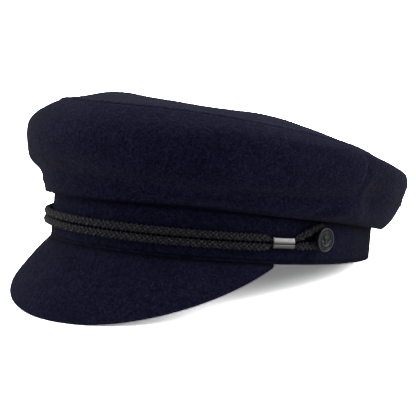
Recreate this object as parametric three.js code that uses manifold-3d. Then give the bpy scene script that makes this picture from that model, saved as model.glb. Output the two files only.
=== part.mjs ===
// Breton fisherman cap: navy wool crown, band and peak, braided chin cord with ferrules and buttons.
// Millimetres, +Z up. The peak points to -Y and the wearer's left side is +X.
// The cap is drawn in its own frame first: the band's lower edge lies in the plane z = 0.
// It is then tipped back until the peak's edge and the back of the band both stand on the floor.
import * as THREE from 'three';
import { mergeVertices } from 'three/addons/utils/BufferGeometryUtils.js';
import Module from 'manifold-3d';

// Band
const BAND_WIDTH = 172;
const BAND_LENGTH = 208;
const BAND_HEIGHT = 32;
const BAND_WALL = 2.6;
const HEM_ROUND = 0.7;

// Crown: rise is from the band's top to the top seam at the front, flare is how far it hangs out
const CROWN_RISE = 48;
const CROWN_FLARE = 21;
const CROWN_DOME = 13.5;
const CLOTH = 2;
const SIDE_SEAM_ANGLE = 3;

// Peak: reach is the length of its middle line, the drops are below the band's plane
const PEAK_REACH = 46.4;
const PEAK_DROP_MIDDLE = 57.3;
const PEAK_DROP_END = 42.9;
const PEAK_HALF_ANGLE = 70;
const PEAK_TAPER = 2.06;
const PEAK_STRAIGHTNESS = 0.31;
const PEAK_THICKNESS = 2.4;
const PEAK_BOW = 1.2;

// Chin cord, ferrules and buttons
const CORD_DIAMETER = 4.7;
const CORD_SQUEEZED = 2;
const CORD_HEIGHT = 12.1;
const CORD_SAG = 0.4;
const FERRULE_LENGTH = 13.7;
const FERRULE_WALL = 0.5;
const FERRULE_TO_BUTTON = 25.5;
const BUTTON_DIAMETER = 13.4;
const BUTTON_THICKNESS = 2.4;
const BUTTON_HEIGHT = 14.9;
const BUTTON_ANGLE = -5.5;
const SHANK_DIAMETER = 2.4;
const RELIEF = 0.45;

// Clearance left between pieces that touch on the real cap
const GAP = 0.3;
// Depth to which the cloth is flattened where the cap stands on its surface
const FLATTEN = 0.4;

// How many flat steps stand in for each curve
const BAND_STEPS = 64;
const SIDE_STEP_DEGREES = 6;
const TOP_RINGS = 8;
const PEAK_STEPS = 34;
const CORD_SIDES = 6;

// Outer surface of the crown's side, row by row from the band's seam up to the top seam.
// Each row is given at five places round the head.
// out is a share of CROWN_FLARE, up is a share of CROWN_RISE above the band's top.
const COLUMNS = ['front', 'frontCorner', 'side', 'backCorner', 'back'];
const ROWS = {
  rollLow: {
    out: { front: 0.29, frontCorner: 0.24, side: 0.17, backCorner: 0.3, back: 0.29 },
    up: { front: -0.1, frontCorner: -0.08, side: -0.165, backCorner: -0.31, back: -0.34 },
  },
  rollOut: {
    out: { front: 0.33, frontCorner: 0.32, side: 0.45, backCorner: 0.51, back: 0.59 },
    up: { front: 0.0, frontCorner: 0.01, side: -0.07, backCorner: -0.22, back: -0.24 },
  },
  fold: {
    out: { front: 0.36, frontCorner: 0.44, side: 0.46, backCorner: 0.71, back: 0.91 },
    up: { front: 0.16, frontCorner: 0.1, side: 0.1, backCorner: -0.05, back: -0.12 },
  },
  bulgeLow: {
    out: { front: 0.67, frontCorner: 0.78, side: 0.66, backCorner: 0.86, back: 1.0 },
    up: { front: 0.34, frontCorner: 0.28, side: 0.27, backCorner: 0.06, back: 0.02 },
  },
  bulge: {
    out: { front: 0.84, frontCorner: 0.89, side: 0.84, backCorner: 0.96, back: 1.0 },
    up: { front: 0.56, frontCorner: 0.58, side: 0.48, backCorner: 0.24, back: 0.12 },
  },
  shoulder: {
    out: { front: 0.62, frontCorner: 0.74, side: 0.76, backCorner: 0.84, back: 0.83 },
    up: { front: 0.79, frontCorner: 0.8, side: 0.66, backCorner: 0.38, back: 0.22 },
  },
  topSeam: {
    out: { front: 0.05, frontCorner: 0.15, side: 0.41, backCorner: 0.56, back: 0.54 },
    up: { front: 1.0, frontCorner: 0.97, side: 0.76, backCorner: 0.35, back: 0.32 },
  },
};

// Soft dents in the crown's side. angle is in degrees from the front, more than zero towards the
// wearer's left, and spread too; at and tall are shares of the side's height from the roll up.
// depth is a share of CROWN_FLARE, less than zero where the cloth swells out.
// drop is a share of CROWN_RISE by which the cloth hangs lower.
const SIDE_DENTS = [
  { angle: 103, spread: 8, at: 0.42, tall: 0.16, depth: 0.12, drop: 0.0 },
  { angle: 70, spread: 18, at: 0.72, tall: 0.2, depth: 0.05, drop: 0.0 },
  { angle: 45, spread: 12, at: 0.42, tall: 0.14, depth: -0.04, drop: 0.0 },
  { angle: 132, spread: 13, at: 0.6, tall: 0.2, depth: 0.06, drop: 0.0 },
  { angle: -103, spread: 8, at: 0.45, tall: 0.16, depth: 0.1, drop: 0.0 },
  { angle: -138, spread: 13, at: 0.58, tall: 0.2, depth: 0.07, drop: 0.0 },
  { angle: -45, spread: 32, at: 0.0, tall: 0.25, depth: 0.0, drop: 0.065 },
  { angle: -52, spread: 24, at: 1.0, tall: 0.3, depth: 0.0, drop: 0.05 },
];

// Soft dents in the crown's top. across and along are shares of half the top's width and length,
// spread is a share of half its width and depth a share of CROWN_DOME.
const TOP_DENTS = [
  { across: -0.52, along: -0.4, spread: 0.2, depth: -0.42 },
  { across: 0.14, along: -0.46, spread: 0.34, depth: 0.38 },
  { across: -0.4, along: 0.1, spread: 0.32, depth: 0.11 },
  { across: 0.09, along: 0.54, spread: 0.29, depth: 0.08 },
  { across: -0.18, along: -0.68, spread: 0.19, depth: -0.12 },
];

// One quarter of the chin cord, from the front middle to the far side of the button's shank.
// past is the distance beyond the ferrule's near end. The rest are shares of CORD_DIAMETER: half is
// half the distance between the two runs, thick the strand's diameter, rise how far their middle climbs.
const CORD_BEFORE_FERRULE = [
  { past: -6.5, half: 0.53, thick: 1.0, rise: 0 },
  { past: -4.2, half: 0.5, thick: 0.9, rise: 0 },
  { past: -2.4, half: 0.42, thick: 0.68, rise: 0 },
];
const CORD_AFTER_FERRULE = [
  { past: 2.2, half: 0.44, thick: 0.7, rise: 0.1 },
  { past: 4.4, half: 0.53, thick: 0.92, rise: 0.21 },
  { past: 8, half: 0.68, thick: 1.0, rise: 0.41 },
  { past: 12, half: 0.85, thick: 1.0, rise: 0.62 },
  { past: 16, half: 1.02, thick: 1.0, rise: 0.8 },
];
const CORD_LOOP = { half: 1.09, rise: 0.87 };

const rad = (degrees) => degrees * Math.PI / 180;
const halfWidth = BAND_WIDTH / 2;
const halfLength = BAND_LENGTH / 2;

// Outward normal of the band's oval at an angle, 0 being the wearer's left and -90 the front
function ovalNormal(angle) {
  const n = new THREE.Vector3(Math.cos(angle) / halfWidth, Math.sin(angle) / halfLength, 0);
  return n.normalize();
}

function onOval(angle, out, z) {
  const p = new THREE.Vector3(halfWidth * Math.cos(angle), halfLength * Math.sin(angle), z);
  return p.addScaledVector(ovalNormal(angle), out);
}

// Smooth curve through the five values of a row, level at the front and at the back
function aroundHead(values, angle) {
  const turned = Math.abs(Math.atan2(Math.cos(angle), -Math.sin(angle)));
  const place = Math.min(turned / (Math.PI / 4), 3.9999);
  const i = Math.floor(place);
  const t = place - i;
  const v = COLUMNS.map((name) => values[name]);
  const slope = (k) => (k === 0 || k === 4 ? 0 : (v[k + 1] - v[k - 1]) / 2);
  const h = t * t * (3 - 2 * t);
  return v[i] * (1 - h) + v[i + 1] * h
    + slope(i) * t * (1 - t) * (1 - t) - slope(i + 1) * t * t * (1 - t);
}

function rowPoint(name, angle) {
  const out = aroundHead(ROWS[name].out, angle) * CROWN_FLARE;
  const up = aroundHead(ROWS[name].up, angle) * CROWN_RISE;
  return new THREE.Vector2(out, BAND_HEIGHT + up);
}

// Dents at one angle and one share of the side's height: how far in and how far down
function dentAt(angle, share) {
  const fromFront = Math.atan2(Math.cos(angle), -Math.sin(angle)) * 180 / Math.PI;
  const shift = new THREE.Vector2();
  for (const dent of SIDE_DENTS) {
    const a = (fromFront - dent.angle) / dent.spread;
    const b = (share - dent.at) / dent.tall;
    const fall = Math.exp(-a * a - b * b);
    shift.x -= dent.depth * CROWN_FLARE * fall * Math.sin(Math.PI * share);
    shift.y -= dent.drop * CROWN_RISE * fall;
  }
  return shift;
}

// Outer line of the crown's side at one angle, from the roll's lowest point to the top seam
function sideLine(angle) {
  const names = Object.keys(ROWS);
  const rows = names.map((name) => rowPoint(name, angle));
  const curve = new THREE.SplineCurve(rows);
  const steps = 2 * (rows.length - 1);
  return range(0, 1, steps).map((share) => curve.getPoint(share).add(dentAt(angle, share)));
}

// Direction of the cut edge shared by the side and the top at their seam
function seamCut(line) {
  const last = line[line.length - 1];
  const before = line[line.length - 2];
  const along = last.clone().sub(before).normalize().add(new THREE.Vector2(-1, 0.1)).normalize();
  return { along, inward: new THREE.Vector2(-along.y, along.x) };
}

// Closed outline of the crown side's cloth at one angle, in out and z
function sideSection(angle) {
  const line = sideLine(angle);
  const low = line[0];
  const rollOut = line[2];
  const top = BAND_HEIGHT;
  const hang = top - low.y;
  const outer = [
    new THREE.Vector2(GAP - BAND_WALL, top + GAP),
    new THREE.Vector2(GAP, top + GAP),
    new THREE.Vector2(GAP + 0.1, top - 0.12 * hang),
    new THREE.Vector2(GAP + 0.2, top - 0.45 * hang),
    new THREE.Vector2(GAP + 0.3 * (low.x - GAP), low.y + 0.16 * hang),
    ...line,
  ];
  const inner = [];
  const cut = seamCut(line).inward;
  inner.push(line[line.length - 1].clone().addScaledVector(cut, CLOTH));
  for (let i = line.length - 2; i >= 3; i -= 1) {
    const tangent = line[i + 1].clone().sub(line[i - 1]).normalize();
    const normal = new THREE.Vector2(-tangent.y, tangent.x);
    inner.push(line[i].clone().addScaledVector(normal, CLOTH));
  }
  const nearLeg = GAP + 0.2 + CLOTH;
  const farLeg = rollOut.x - CLOTH;
  const pocket = farLeg - nearLeg;
  inner.push(new THREE.Vector2(farLeg - 0.15 * pocket, low.y + 1.08 * CLOTH));
  inner.push(new THREE.Vector2(nearLeg + 0.15 * pocket, low.y + 1.08 * CLOTH));
  inner.push(new THREE.Vector2(nearLeg, top + 0.5 * GAP));
  inner.push(new THREE.Vector2(GAP + 0.6 * CLOTH, top + GAP + CLOTH));
  inner.push(new THREE.Vector2(GAP - BAND_WALL, top + GAP + CLOTH));
  return [...outer, ...inner];
}

function geometryOf(points, faces) {
  const g = new THREE.BufferGeometry();
  g.setAttribute('position', new THREE.Float32BufferAttribute(points.flatMap((p) => [p.x, p.y, p.z]), 3));
  g.setIndex(faces.flat());
  return facingOut(g);
}

function signedVolume(g) {
  const p = g.attributes.position;
  const a = new THREE.Vector3();
  const b = new THREE.Vector3();
  const c = new THREE.Vector3();
  let sum = 0;
  for (let i = 0; i < g.index.count; i += 3) {
    a.fromBufferAttribute(p, g.index.getX(i));
    b.fromBufferAttribute(p, g.index.getX(i + 1));
    c.fromBufferAttribute(p, g.index.getX(i + 2));
    sum += a.dot(b.cross(c)) / 6;
  }
  return sum;
}

function facingOut(g) {
  if (signedVolume(g) < 0) {
    const index = Array.from(g.index.array);
    for (let i = 0; i < index.length; i += 3) {
      [index[i + 1], index[i + 2]] = [index[i + 2], index[i + 1]];
    }
    g.setIndex(index);
  }
  return g;
}

// Three's own shapes repeat points along their seams; here equal points become one
function joined(g) {
  const plain = g.index ? g.clone() : g;
  plain.deleteAttribute('normal');
  plain.deleteAttribute('uv');
  const merged = mergeVertices(plain, 1e-4);
  const index = [];
  const old = merged.index.array;
  for (let i = 0; i < old.length; i += 3) {
    if (old[i] !== old[i + 1] && old[i + 1] !== old[i + 2] && old[i] !== old[i + 2]) {
      index.push(old[i], old[i + 1], old[i + 2]);
    }
  }
  merged.setIndex(index);
  return facingOut(merged);
}

// Body swept through equal outlines; an open sweep gets the two end faces, cut as in flat
function sweep(loops, closed, flat) {
  const n = loops[0].length;
  const faces = [];
  const last = closed ? loops.length : loops.length - 1;
  for (let i = 0; i < last; i += 1) {
    const here = i * n;
    const next = ((i + 1) % loops.length) * n;
    for (let j = 0; j < n; j += 1) {
      const k = (j + 1) % n;
      faces.push([here + j, here + k, next + k], [here + j, next + k, next + j]);
    }
  }
  if (!closed) {
    const ends = [[0, flat[0], true], [(loops.length - 1) * n, flat[1], false]];
    for (const [start, outline, reversed] of ends) {
      const turn = Math.sign(THREE.ShapeUtils.area(outline));
      for (const t of THREE.ShapeUtils.triangulateShape(outline, [])) {
        const [a, b, c] = t.map((k) => outline[k]);
        const same = Math.sign(THREE.ShapeUtils.area([a, b, c])) === turn;
        const ordered = same === reversed ? [t[0], t[2], t[1]] : t;
        faces.push(ordered.map((k) => start + k));
      }
    }
  }
  return geometryOf(loops.flat(), faces);
}

function range(from, to, count) {
  return Array.from({ length: count + 1 }, (_, i) => from + (to - from) * i / count);
}

// Band
function bandGeometry() {
  const r = HEM_ROUND;
  const w = BAND_WALL;
  const h = BAND_HEIGHT;
  const section = [
    [-r, 0], [0, r], [0, h - r], [-r, h], [r - w, h], [-w, h - r], [-w, r], [r - w, 0],
  ];
  const angles = range(0, 2 * Math.PI, BAND_STEPS).slice(0, -1);
  return sweep(angles.map((a) => section.map(([out, z]) => onOval(a, out, z))), true);
}

// One side panel of the crown between two angles, given in degrees
function sidePanel(from, to) {
  const trim = GAP / 2 / halfWidth;
  const count = Math.round((to - from) / SIDE_STEP_DEGREES);
  const angles = range(rad(from) + trim, rad(to) - trim, count);
  const sections = angles.map(sideSection);
  const loops = sections.map((s, i) => s.map((p) => onOval(angles[i], p.x, p.y)));
  return sweep(loops, false, [sections[0], sections[sections.length - 1]]);
}

// Top panel of the crown: its rim follows the side's top edge, its height is level from side to side
function topPanel() {
  const angles = range(-Math.PI / 2, 1.5 * Math.PI, BAND_STEPS).slice(0, -1);
  const rim = [];
  const under = [];
  for (const a of angles) {
    const line = sideLine(a);
    const { along, inward } = seamCut(line);
    const edge = line[line.length - 1].clone().addScaledVector(along, GAP);
    rim.push(onOval(a, edge.x, edge.y));
    const below = edge.addScaledVector(inward, CLOTH);
    under.push(onOval(a, below.x, below.y));
  }
  const backwards = rim.slice(0, BAND_STEPS / 2 + 1);
  const levelAt = (y) => {
    let i = 0;
    while (i < backwards.length - 2 && backwards[i + 1].y < y) {
      i += 1;
    }
    const share = (y - backwards[i].y) / (backwards[i + 1].y - backwards[i].y);
    return backwards[i].z + (backwards[i + 1].z - backwards[i].z) * THREE.MathUtils.clamp(share, 0, 1);
  };
  const topWidth = Math.max(...rim.map((p) => p.x));
  const topLength = Math.max(...rim.map((p) => Math.abs(p.y)));
  const heightAt = (x, y, share) => {
    let z = levelAt(y) + CROWN_DOME * (1 - share * share);
    for (const dent of TOP_DENTS) {
      const a = (x / topWidth - dent.across) / dent.spread;
      const b = (y / topLength - dent.along) / dent.spread;
      z -= dent.depth * CROWN_DOME * Math.exp(-a * a - b * b) * (1 - share * share);
    }
    return z;
  };
  const points = [...rim];
  for (let k = 1; k < TOP_RINGS; k += 1) {
    const share = 1 - k / TOP_RINGS;
    for (const p of rim) {
      const x = p.x * share;
      const y = p.y * share;
      points.push(new THREE.Vector3(x, y, heightAt(x, y, share)));
    }
  }
  const n = angles.length;
  const middle = points.length;
  points.push(new THREE.Vector3(0, 0, heightAt(0, 0, 0)));
  const upper = points.length;
  points.push(...under);
  for (let i = n; i < upper; i += 1) {
    points.push(points[i].clone().setZ(points[i].z - CLOTH));
  }
  const faces = [];
  for (let k = 0; k < TOP_RINGS; k += 1) {
    for (let j = 0; j < n; j += 1) {
      const a = k * n + j;
      const b = k * n + (j + 1) % n;
      if (k === TOP_RINGS - 1) {
        faces.push([a, b, middle], [upper + b, upper + a, upper + middle]);
      } else {
        faces.push([a, b, b + n], [a, b + n, a + n]);
        faces.push([upper + b, upper + a, upper + a + n], [upper + b, upper + a + n, upper + b + n]);
      }
    }
  }
  for (let j = 0; j < n; j += 1) {
    const k = (j + 1) % n;
    faces.push([k, j, upper + j], [k, upper + j, upper + k]);
  }
  return geometryOf(points, faces);
}

// Peak: a stiff crescent that falls away from the band's lower edge
function peakGeometry() {
  const shares = range(-0.975, 0.975, PEAK_STEPS);
  const loops = [];
  const flats = [];
  for (const s of shares) {
    const angle = rad(-90 + s * PEAK_HALF_ANGLE);
    const reach = PEAK_REACH * (1 - Math.abs(s) ** PEAK_TAPER);
    const drop = rad(PEAK_DROP_MIDDLE + (PEAK_DROP_END - PEAK_DROP_MIDDLE) * s * s);
    const ahead = ovalNormal(angle).multiplyScalar(1 - PEAK_STRAIGHTNESS);
    ahead.y -= PEAK_STRAIGHTNESS;
    ahead.normalize();
    const t = PEAK_THICKNESS;
    const along = new THREE.Vector2(Math.cos(drop), -Math.sin(drop));
    const under = new THREE.Vector2(-Math.sin(drop), -Math.cos(drop));
    const bow = PEAK_BOW * reach / PEAK_REACH;
    const root = new THREE.Vector2(0, -GAP);
    const at = (far, deep) => root.clone().addScaledVector(along, far)
      .addScaledVector(under, deep * t - 4 * bow * (far / reach) * (1 - far / reach));
    const flatReach = reach - 0.4 * t;
    const section = [
      new THREE.Vector2(-BAND_WALL, -GAP),
      root,
      ...[0.28, 0.52, 0.76, 1].map((share) => at(share * flatReach, 0)),
      at(reach - 0.08 * t, 0.22),
      at(reach, 0.5),
      at(reach - 0.08 * t, 0.78),
      ...[1, 0.76, 0.52, 0.28].map((share) => at(share * flatReach, 1)),
      at(-0.2 * t, 1),
    ];
    const foot = onOval(angle, 0, 0);
    loops.push(section.map((p) => foot.clone().addScaledVector(ahead, p.x).setZ(p.y)));
    flats.push(section);
  }
  return sweep(loops, false, [flats[0], flats[flats.length - 1]]);
}

// Distance along the band's outer face from the front middle, and the angle at such a distance
const AROUND = range(-Math.PI / 2, Math.PI / 2, 720);
const WALKED = [0];
for (let i = 1; i < AROUND.length; i += 1) {
  const a = onOval(AROUND[i - 1], CORD_DIAMETER / 2, 0);
  WALKED.push(WALKED[i - 1] + a.distanceTo(onOval(AROUND[i], CORD_DIAMETER / 2, 0)));
}

function angleAt(distance) {
  let i = 1;
  while (i < WALKED.length - 1 && WALKED[i] < distance) {
    i += 1;
  }
  const share = (distance - WALKED[i - 1]) / (WALKED[i] - WALKED[i - 1]);
  return AROUND[i - 1] + (AROUND[i] - AROUND[i - 1]) * share;
}

function distanceAt(angle) {
  const place = (angle - AROUND[0]) / (AROUND[1] - AROUND[0]);
  const i = Math.min(Math.floor(place), WALKED.length - 2);
  return WALKED[i] + (WALKED[i + 1] - WALKED[i]) * (place - i);
}

const buttonAt = distanceAt(rad(BUTTON_ANGLE));
const ferruleAt = buttonAt - FERRULE_TO_BUTTON;
const ferruleStart = ferruleAt - FERRULE_LENGTH / 2;
const ferruleEnd = ferruleAt + FERRULE_LENGTH / 2;
const squeezedHalf = CORD_SQUEEZED / 2 + 2 * GAP / 3 + 0.2;
const ferruleBore = CORD_SQUEEZED / 2 + GAP;
const ferruleDepth = GAP + ferruleBore + FERRULE_WALL;

// Chin cord: two runs round the front, squeezed in the ferrules, one loop round each button's shank
function cordGeometry() {
  const quarter = [];
  const add = (distance, half, diameter, rise) => {
    const inFerrule = diameter <= CORD_SQUEEZED * 1.01;
    const out = inFerrule ? ferruleDepth : GAP + diameter / 2;
    quarter.push({ distance, half, diameter, out, rise });
  };
  const first = CORD_BEFORE_FERRULE[0];
  for (const d of range(0, ferruleStart + first.past, 20).slice(0, -1)) {
    add(d, first.half * CORD_DIAMETER, CORD_DIAMETER, 0);
  }
  const addRows = (rows, from) => {
    for (const s of rows) {
      add(from + s.past, s.half * CORD_DIAMETER, s.thick * CORD_DIAMETER, s.rise * CORD_DIAMETER);
    }
  };
  addRows(CORD_BEFORE_FERRULE, ferruleStart);
  for (const d of range(ferruleStart - 0.6, ferruleEnd + 0.6, 3)) {
    add(d, squeezedHalf, CORD_SQUEEZED, 0);
  }
  addRows(CORD_AFTER_FERRULE, ferruleEnd);
  const loopAcross = SHANK_DIAMETER / 2 + 2 * GAP + 0.2 + CORD_DIAMETER / 2;
  const loopTall = CORD_LOOP.half * CORD_DIAMETER;
  const loopRise = CORD_LOOP.rise * CORD_DIAMETER;
  for (const turn of [90, 67.5, 45, 22.5, 0].map(rad)) {
    const past = loopAcross * Math.cos(turn);
    add(buttonAt + past, loopTall * Math.sin(turn), CORD_DIAMETER, loopRise);
  }
  const middleHeight = (s) => {
    const sag = 1 - THREE.MathUtils.smoothstep(s.distance, 0, ferruleStart - CORD_DIAMETER);
    return CORD_HEIGHT - CORD_SAG * sag + s.rise;
  };
  const place = (s, above, side) => {
    const angle = angleAt(s.distance);
    const p = onOval(angle, s.out, middleHeight(s) + above * s.half);
    const n = ovalNormal(angle);
    p.x *= side;
    n.x *= side;
    return { p, n, r: s.diameter / 2 };
  };
  const inner = quarter.slice(1, -1);
  const front = quarter[0];
  const far = quarter[quarter.length - 1];
  const path = [
    place(front, 1, 1),
    ...inner.map((s) => place(s, 1, 1)),
    place(far, 0, 1),
    ...inner.slice().reverse().map((s) => place(s, -1, 1)),
    place(front, -1, 1),
    ...inner.map((s) => place(s, -1, -1)),
    place(far, 0, -1),
    ...inner.slice().reverse().map((s) => place(s, 1, -1)),
  ];
  const count = path.length;
  const loops = path.map(({ p, n, r }, i) => {
    const ahead = path[(i + 1) % count].p.clone().sub(path[(i + count - 1) % count].p).normalize();
    const across = n.clone().addScaledVector(ahead, -n.dot(ahead)).normalize();
    const up = ahead.clone().cross(across);
    return range(0, 2 * Math.PI, CORD_SIDES).slice(0, -1).map((turn) => p.clone()
      .addScaledVector(across, r * Math.cos(turn))
      .addScaledVector(up, r * Math.sin(turn)));
  });
  return sweep(loops, true);
}

// Ferrule: a crimped tube with a figure of eight section round both runs of the cord
function ferruleGeometry(side) {
  const outline = (radius) => {
    const points = [];
    for (const lobe of [1, -1]) {
      const reach = Math.acos(Math.min(0.95, 0.45 * squeezedHalf / radius));
      for (const share of [1, 0.66, 0.33, 0, -0.33, -0.66, -1]) {
        const turn = lobe * Math.PI / 2 - share * (Math.PI - reach);
        points.push([radius * Math.cos(turn), lobe * squeezedHalf + radius * Math.sin(turn)]);
      }
    }
    return points;
  };
  const outer = outline(ferruleBore + FERRULE_WALL);
  const bore = outline(ferruleBore);
  const lip = 0.25;
  const stations = range(ferruleStart + lip, ferruleEnd - lip, 4);
  const rings = [
    ...stations.map((d) => ({ d, shape: outer })),
    { d: ferruleEnd, shape: bore.map(([a, b], i) => [(a + outer[i][0]) / 2, (b + outer[i][1]) / 2]) },
    ...stations.slice().reverse().map((d) => ({ d, shape: bore })),
    { d: ferruleStart, shape: bore.map(([a, b], i) => [(a + outer[i][0]) / 2, (b + outer[i][1]) / 2]) },
  ];
  const loops = rings.map(({ d, shape }) => shape.map(([out, up]) => {
    const p = onOval(angleAt(d), ferruleDepth + out, CORD_HEIGHT + up);
    p.x *= side;
    return p;
  }));
  return sweep(loops, true);
}

const wasm = await Module();
wasm.setup();

function solidOf(g) {
  return new wasm.Manifold(new wasm.Mesh({
    numProp: 3,
    vertProperties: new Float32Array(g.attributes.position.array),
    triVerts: new Uint32Array(g.index.array),
  }));
}

function geometryFrom(solid) {
  const mesh = solid.getMesh();
  const g = new THREE.BufferGeometry();
  const points = [];
  for (let i = 0; i < mesh.numVert; i += 1) {
    points.push(...mesh.vertProperties.slice(i * mesh.numProp, i * mesh.numProp + 3));
  }
  g.setAttribute('position', new THREE.Float32BufferAttribute(points, 3));
  g.setIndex(Array.from(mesh.triVerts));
  return g;
}

// Button: a turned disc with a raised rim, a plain anchor in relief and a shank to the band
function buttonGeometry(side) {
  const r = BUTTON_DIAMETER / 2;
  const t = BUTTON_THICKNESS;
  const back = CORD_DIAMETER + GAP;
  const face = back + 0.8 * t;
  const profile = [
    [0, 0], [SHANK_DIAMETER / 2, 0], [SHANK_DIAMETER / 2, back],
    [0.88 * r, back], [r, back + 0.3 * t], [0.98 * r, back + 0.75 * t],
    [0.9 * r, back + t], [0.83 * r, back + t], [0.77 * r, face], [0, face],
  ];
  const disc = new THREE.LatheGeometry(profile.map(([a, b]) => new THREE.Vector2(a, b)), 24);
  disc.rotateX(Math.PI / 2);
  let solid = solidOf(joined(disc));
  const relief = (shape) => {
    const raised = { depth: RELIEF + 0.3, bevelEnabled: false, curveSegments: 5 };
    const g = new THREE.ExtrudeGeometry(shape, raised);
    g.translate(0, 0, face - 0.3);
    solid = solid.add(solidOf(joined(g)));
  };
  const box = (x0, x1, y0, y1) => {
    const s = new THREE.Shape();
    s.moveTo(x0 * r, y0 * r);
    s.lineTo(x1 * r, y0 * r);
    s.lineTo(x1 * r, y1 * r);
    s.lineTo(x0 * r, y1 * r);
    return s;
  };
  relief(box(-0.06, 0.06, -0.52, 0.4));
  relief(box(-0.26, 0.26, 0.22, 0.32));
  const eye = new THREE.Shape();
  eye.absarc(0, 0.5 * r, 0.15 * r, 0, 2 * Math.PI);
  relief(eye);
  const arms = new THREE.Shape();
  arms.absarc(0, -0.08 * r, 0.5 * r, rad(200), rad(340), false);
  arms.lineTo(0.58 * r, -0.12 * r);
  arms.lineTo(0.36 * r, -0.1 * r);
  arms.absarc(0, -0.08 * r, 0.37 * r, rad(335), rad(205), true);
  arms.lineTo(-0.36 * r, -0.1 * r);
  arms.lineTo(-0.58 * r, -0.12 * r);
  relief(arms);
  const g = geometryFrom(solid);
  const angle = rad(BUTTON_ANGLE);
  const n = ovalNormal(angle);
  n.x *= side;
  const up = new THREE.Vector3(0, 0, 1);
  const across = up.clone().cross(n);
  const frame = new THREE.Matrix4().makeBasis(across, up, n);
  const origin = onOval(angle, GAP, BUTTON_HEIGHT);
  origin.x *= side;
  frame.setPosition(origin);
  return g.applyMatrix4(frame);
}

const pieces = {
  crown_top: topPanel(),
  crown_front: sidePanel(-180 - SIDE_SEAM_ANGLE, SIDE_SEAM_ANGLE),
  crown_back: sidePanel(SIDE_SEAM_ANGLE, 180 - SIDE_SEAM_ANGLE),
  band: bandGeometry(),
  peak: peakGeometry(),
  chin_cord: cordGeometry(),
  ferrule_left: ferruleGeometry(1),
  ferrule_right: ferruleGeometry(-1),
  button_left: buttonGeometry(1),
  button_right: buttonGeometry(-1),
};

// Tip the cap back until the peak and the band stand equally low
function lowest(g, tilt) {
  const p = g.attributes.position;
  let low = Infinity;
  for (let i = 0; i < p.count; i += 1) {
    low = Math.min(low, -p.getY(i) * Math.sin(tilt) + p.getZ(i) * Math.cos(tilt));
  }
  return low;
}

let flatter = 0;
let steeper = rad(40);
for (let i = 0; i < 50; i += 1) {
  const tilt = (flatter + steeper) / 2;
  if (lowest(pieces.peak, tilt) < lowest(pieces.band, tilt)) {
    flatter = tilt;
  } else {
    steeper = tilt;
  }
}
const tilt = (flatter + steeper) / 2;
const floor = lowest(pieces.band, tilt) + FLATTEN;
for (const g of Object.values(pieces)) {
  g.rotateX(-tilt);
  g.translate(0, 0, -floor);
}

// Only the cloth of the band and the peak is pressed flat where it stands
const slab = new THREE.BoxGeometry(2 * BAND_WIDTH, 3 * BAND_LENGTH, BAND_HEIGHT);
slab.translate(0, 0, -BAND_HEIGHT / 2);
const below = solidOf(joined(slab));
for (const name of ['band', 'peak']) {
  pieces[name] = geometryFrom(solidOf(pieces[name]).subtract(below));
}

const whole = new THREE.Box3();
for (const g of Object.values(pieces)) {
  g.computeBoundingBox();
  whole.union(g.boundingBox);
}
const centre = whole.getCenter(new THREE.Vector3());
for (const g of Object.values(pieces)) {
  g.translate(-centre.x, -centre.y, -whole.min.z);
}

const LOOKS = {
  wool: { color: 0x1a1a28, roughness: 0.95, metalness: 0 },
  cord: { color: 0x15151c, roughness: 0.8, metalness: 0 },
  metal: { color: 0x9a9793, roughness: 0.35, metalness: 1 },
  button: { color: 0x39393c, roughness: 0.4, metalness: 0 },
};
const LOOK_OF = {
  chin_cord: 'cord',
  ferrule_left: 'metal',
  ferrule_right: 'metal',
  button_left: 'button',
  button_right: 'button',
};

const cap = new THREE.Group();
cap.name = 'fisherman_cap';
for (const [name, g] of Object.entries(pieces)) {
  g.computeVertexNormals();
  const mesh = new THREE.Mesh(g, new THREE.MeshStandardMaterial(LOOKS[LOOK_OF[name] ?? 'wool']));
  mesh.name = name;
  cap.add(mesh);
}

export default cap;
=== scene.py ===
import math
from types import SimpleNamespace

import bmesh
import bpy
import numpy as np
from mathutils import Matrix, Vector, noise


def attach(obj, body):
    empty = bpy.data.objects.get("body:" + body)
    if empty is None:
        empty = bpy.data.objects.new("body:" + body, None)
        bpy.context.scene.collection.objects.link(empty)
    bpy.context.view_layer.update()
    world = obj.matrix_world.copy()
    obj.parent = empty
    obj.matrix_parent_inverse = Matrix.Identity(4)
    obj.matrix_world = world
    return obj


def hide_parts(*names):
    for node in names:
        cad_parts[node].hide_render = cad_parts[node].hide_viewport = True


bl_info = {
    "name": "Fisherman Cap",
    "version": (1, 0, 0),
    "blender": (4, 5, 0),
    "location": "View3D > Sidebar > Cap",
    "description": "Dresses the packed frame of a wool fisherman cap",
    "category": "Add Mesh",
}

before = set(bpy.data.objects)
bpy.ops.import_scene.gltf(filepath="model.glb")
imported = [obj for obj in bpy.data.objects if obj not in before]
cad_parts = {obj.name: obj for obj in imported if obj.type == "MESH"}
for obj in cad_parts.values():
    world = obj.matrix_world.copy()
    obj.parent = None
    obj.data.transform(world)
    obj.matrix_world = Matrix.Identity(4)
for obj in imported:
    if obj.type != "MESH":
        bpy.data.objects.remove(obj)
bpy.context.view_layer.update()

# How the cap stands: tipped back by TILT, its own origin at ORIGIN in the frame (metres)
TILT = 0.1724542
ORIGIN = Vector((0.000074974, 0.001976761, 0.017326349))
PLACE = Matrix.Translation(ORIGIN) @ Matrix.Rotation(-TILT, 4, "X")

# Clearance between pieces that touch, how far two sewn edges press into each other, the rounding of
# the turned-in seam edges and how far their flanges go in
GAP = 0.3
SEAM_LAP = 0.06
TOP_SEAM_ROUND = 0.6
SIDE_SEAM_ROUND = 0.22
FLANGE = 1.2
# The narrow strip of cloth beside a side seam that stays flat
EDGE_STRIP = 0.25
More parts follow.
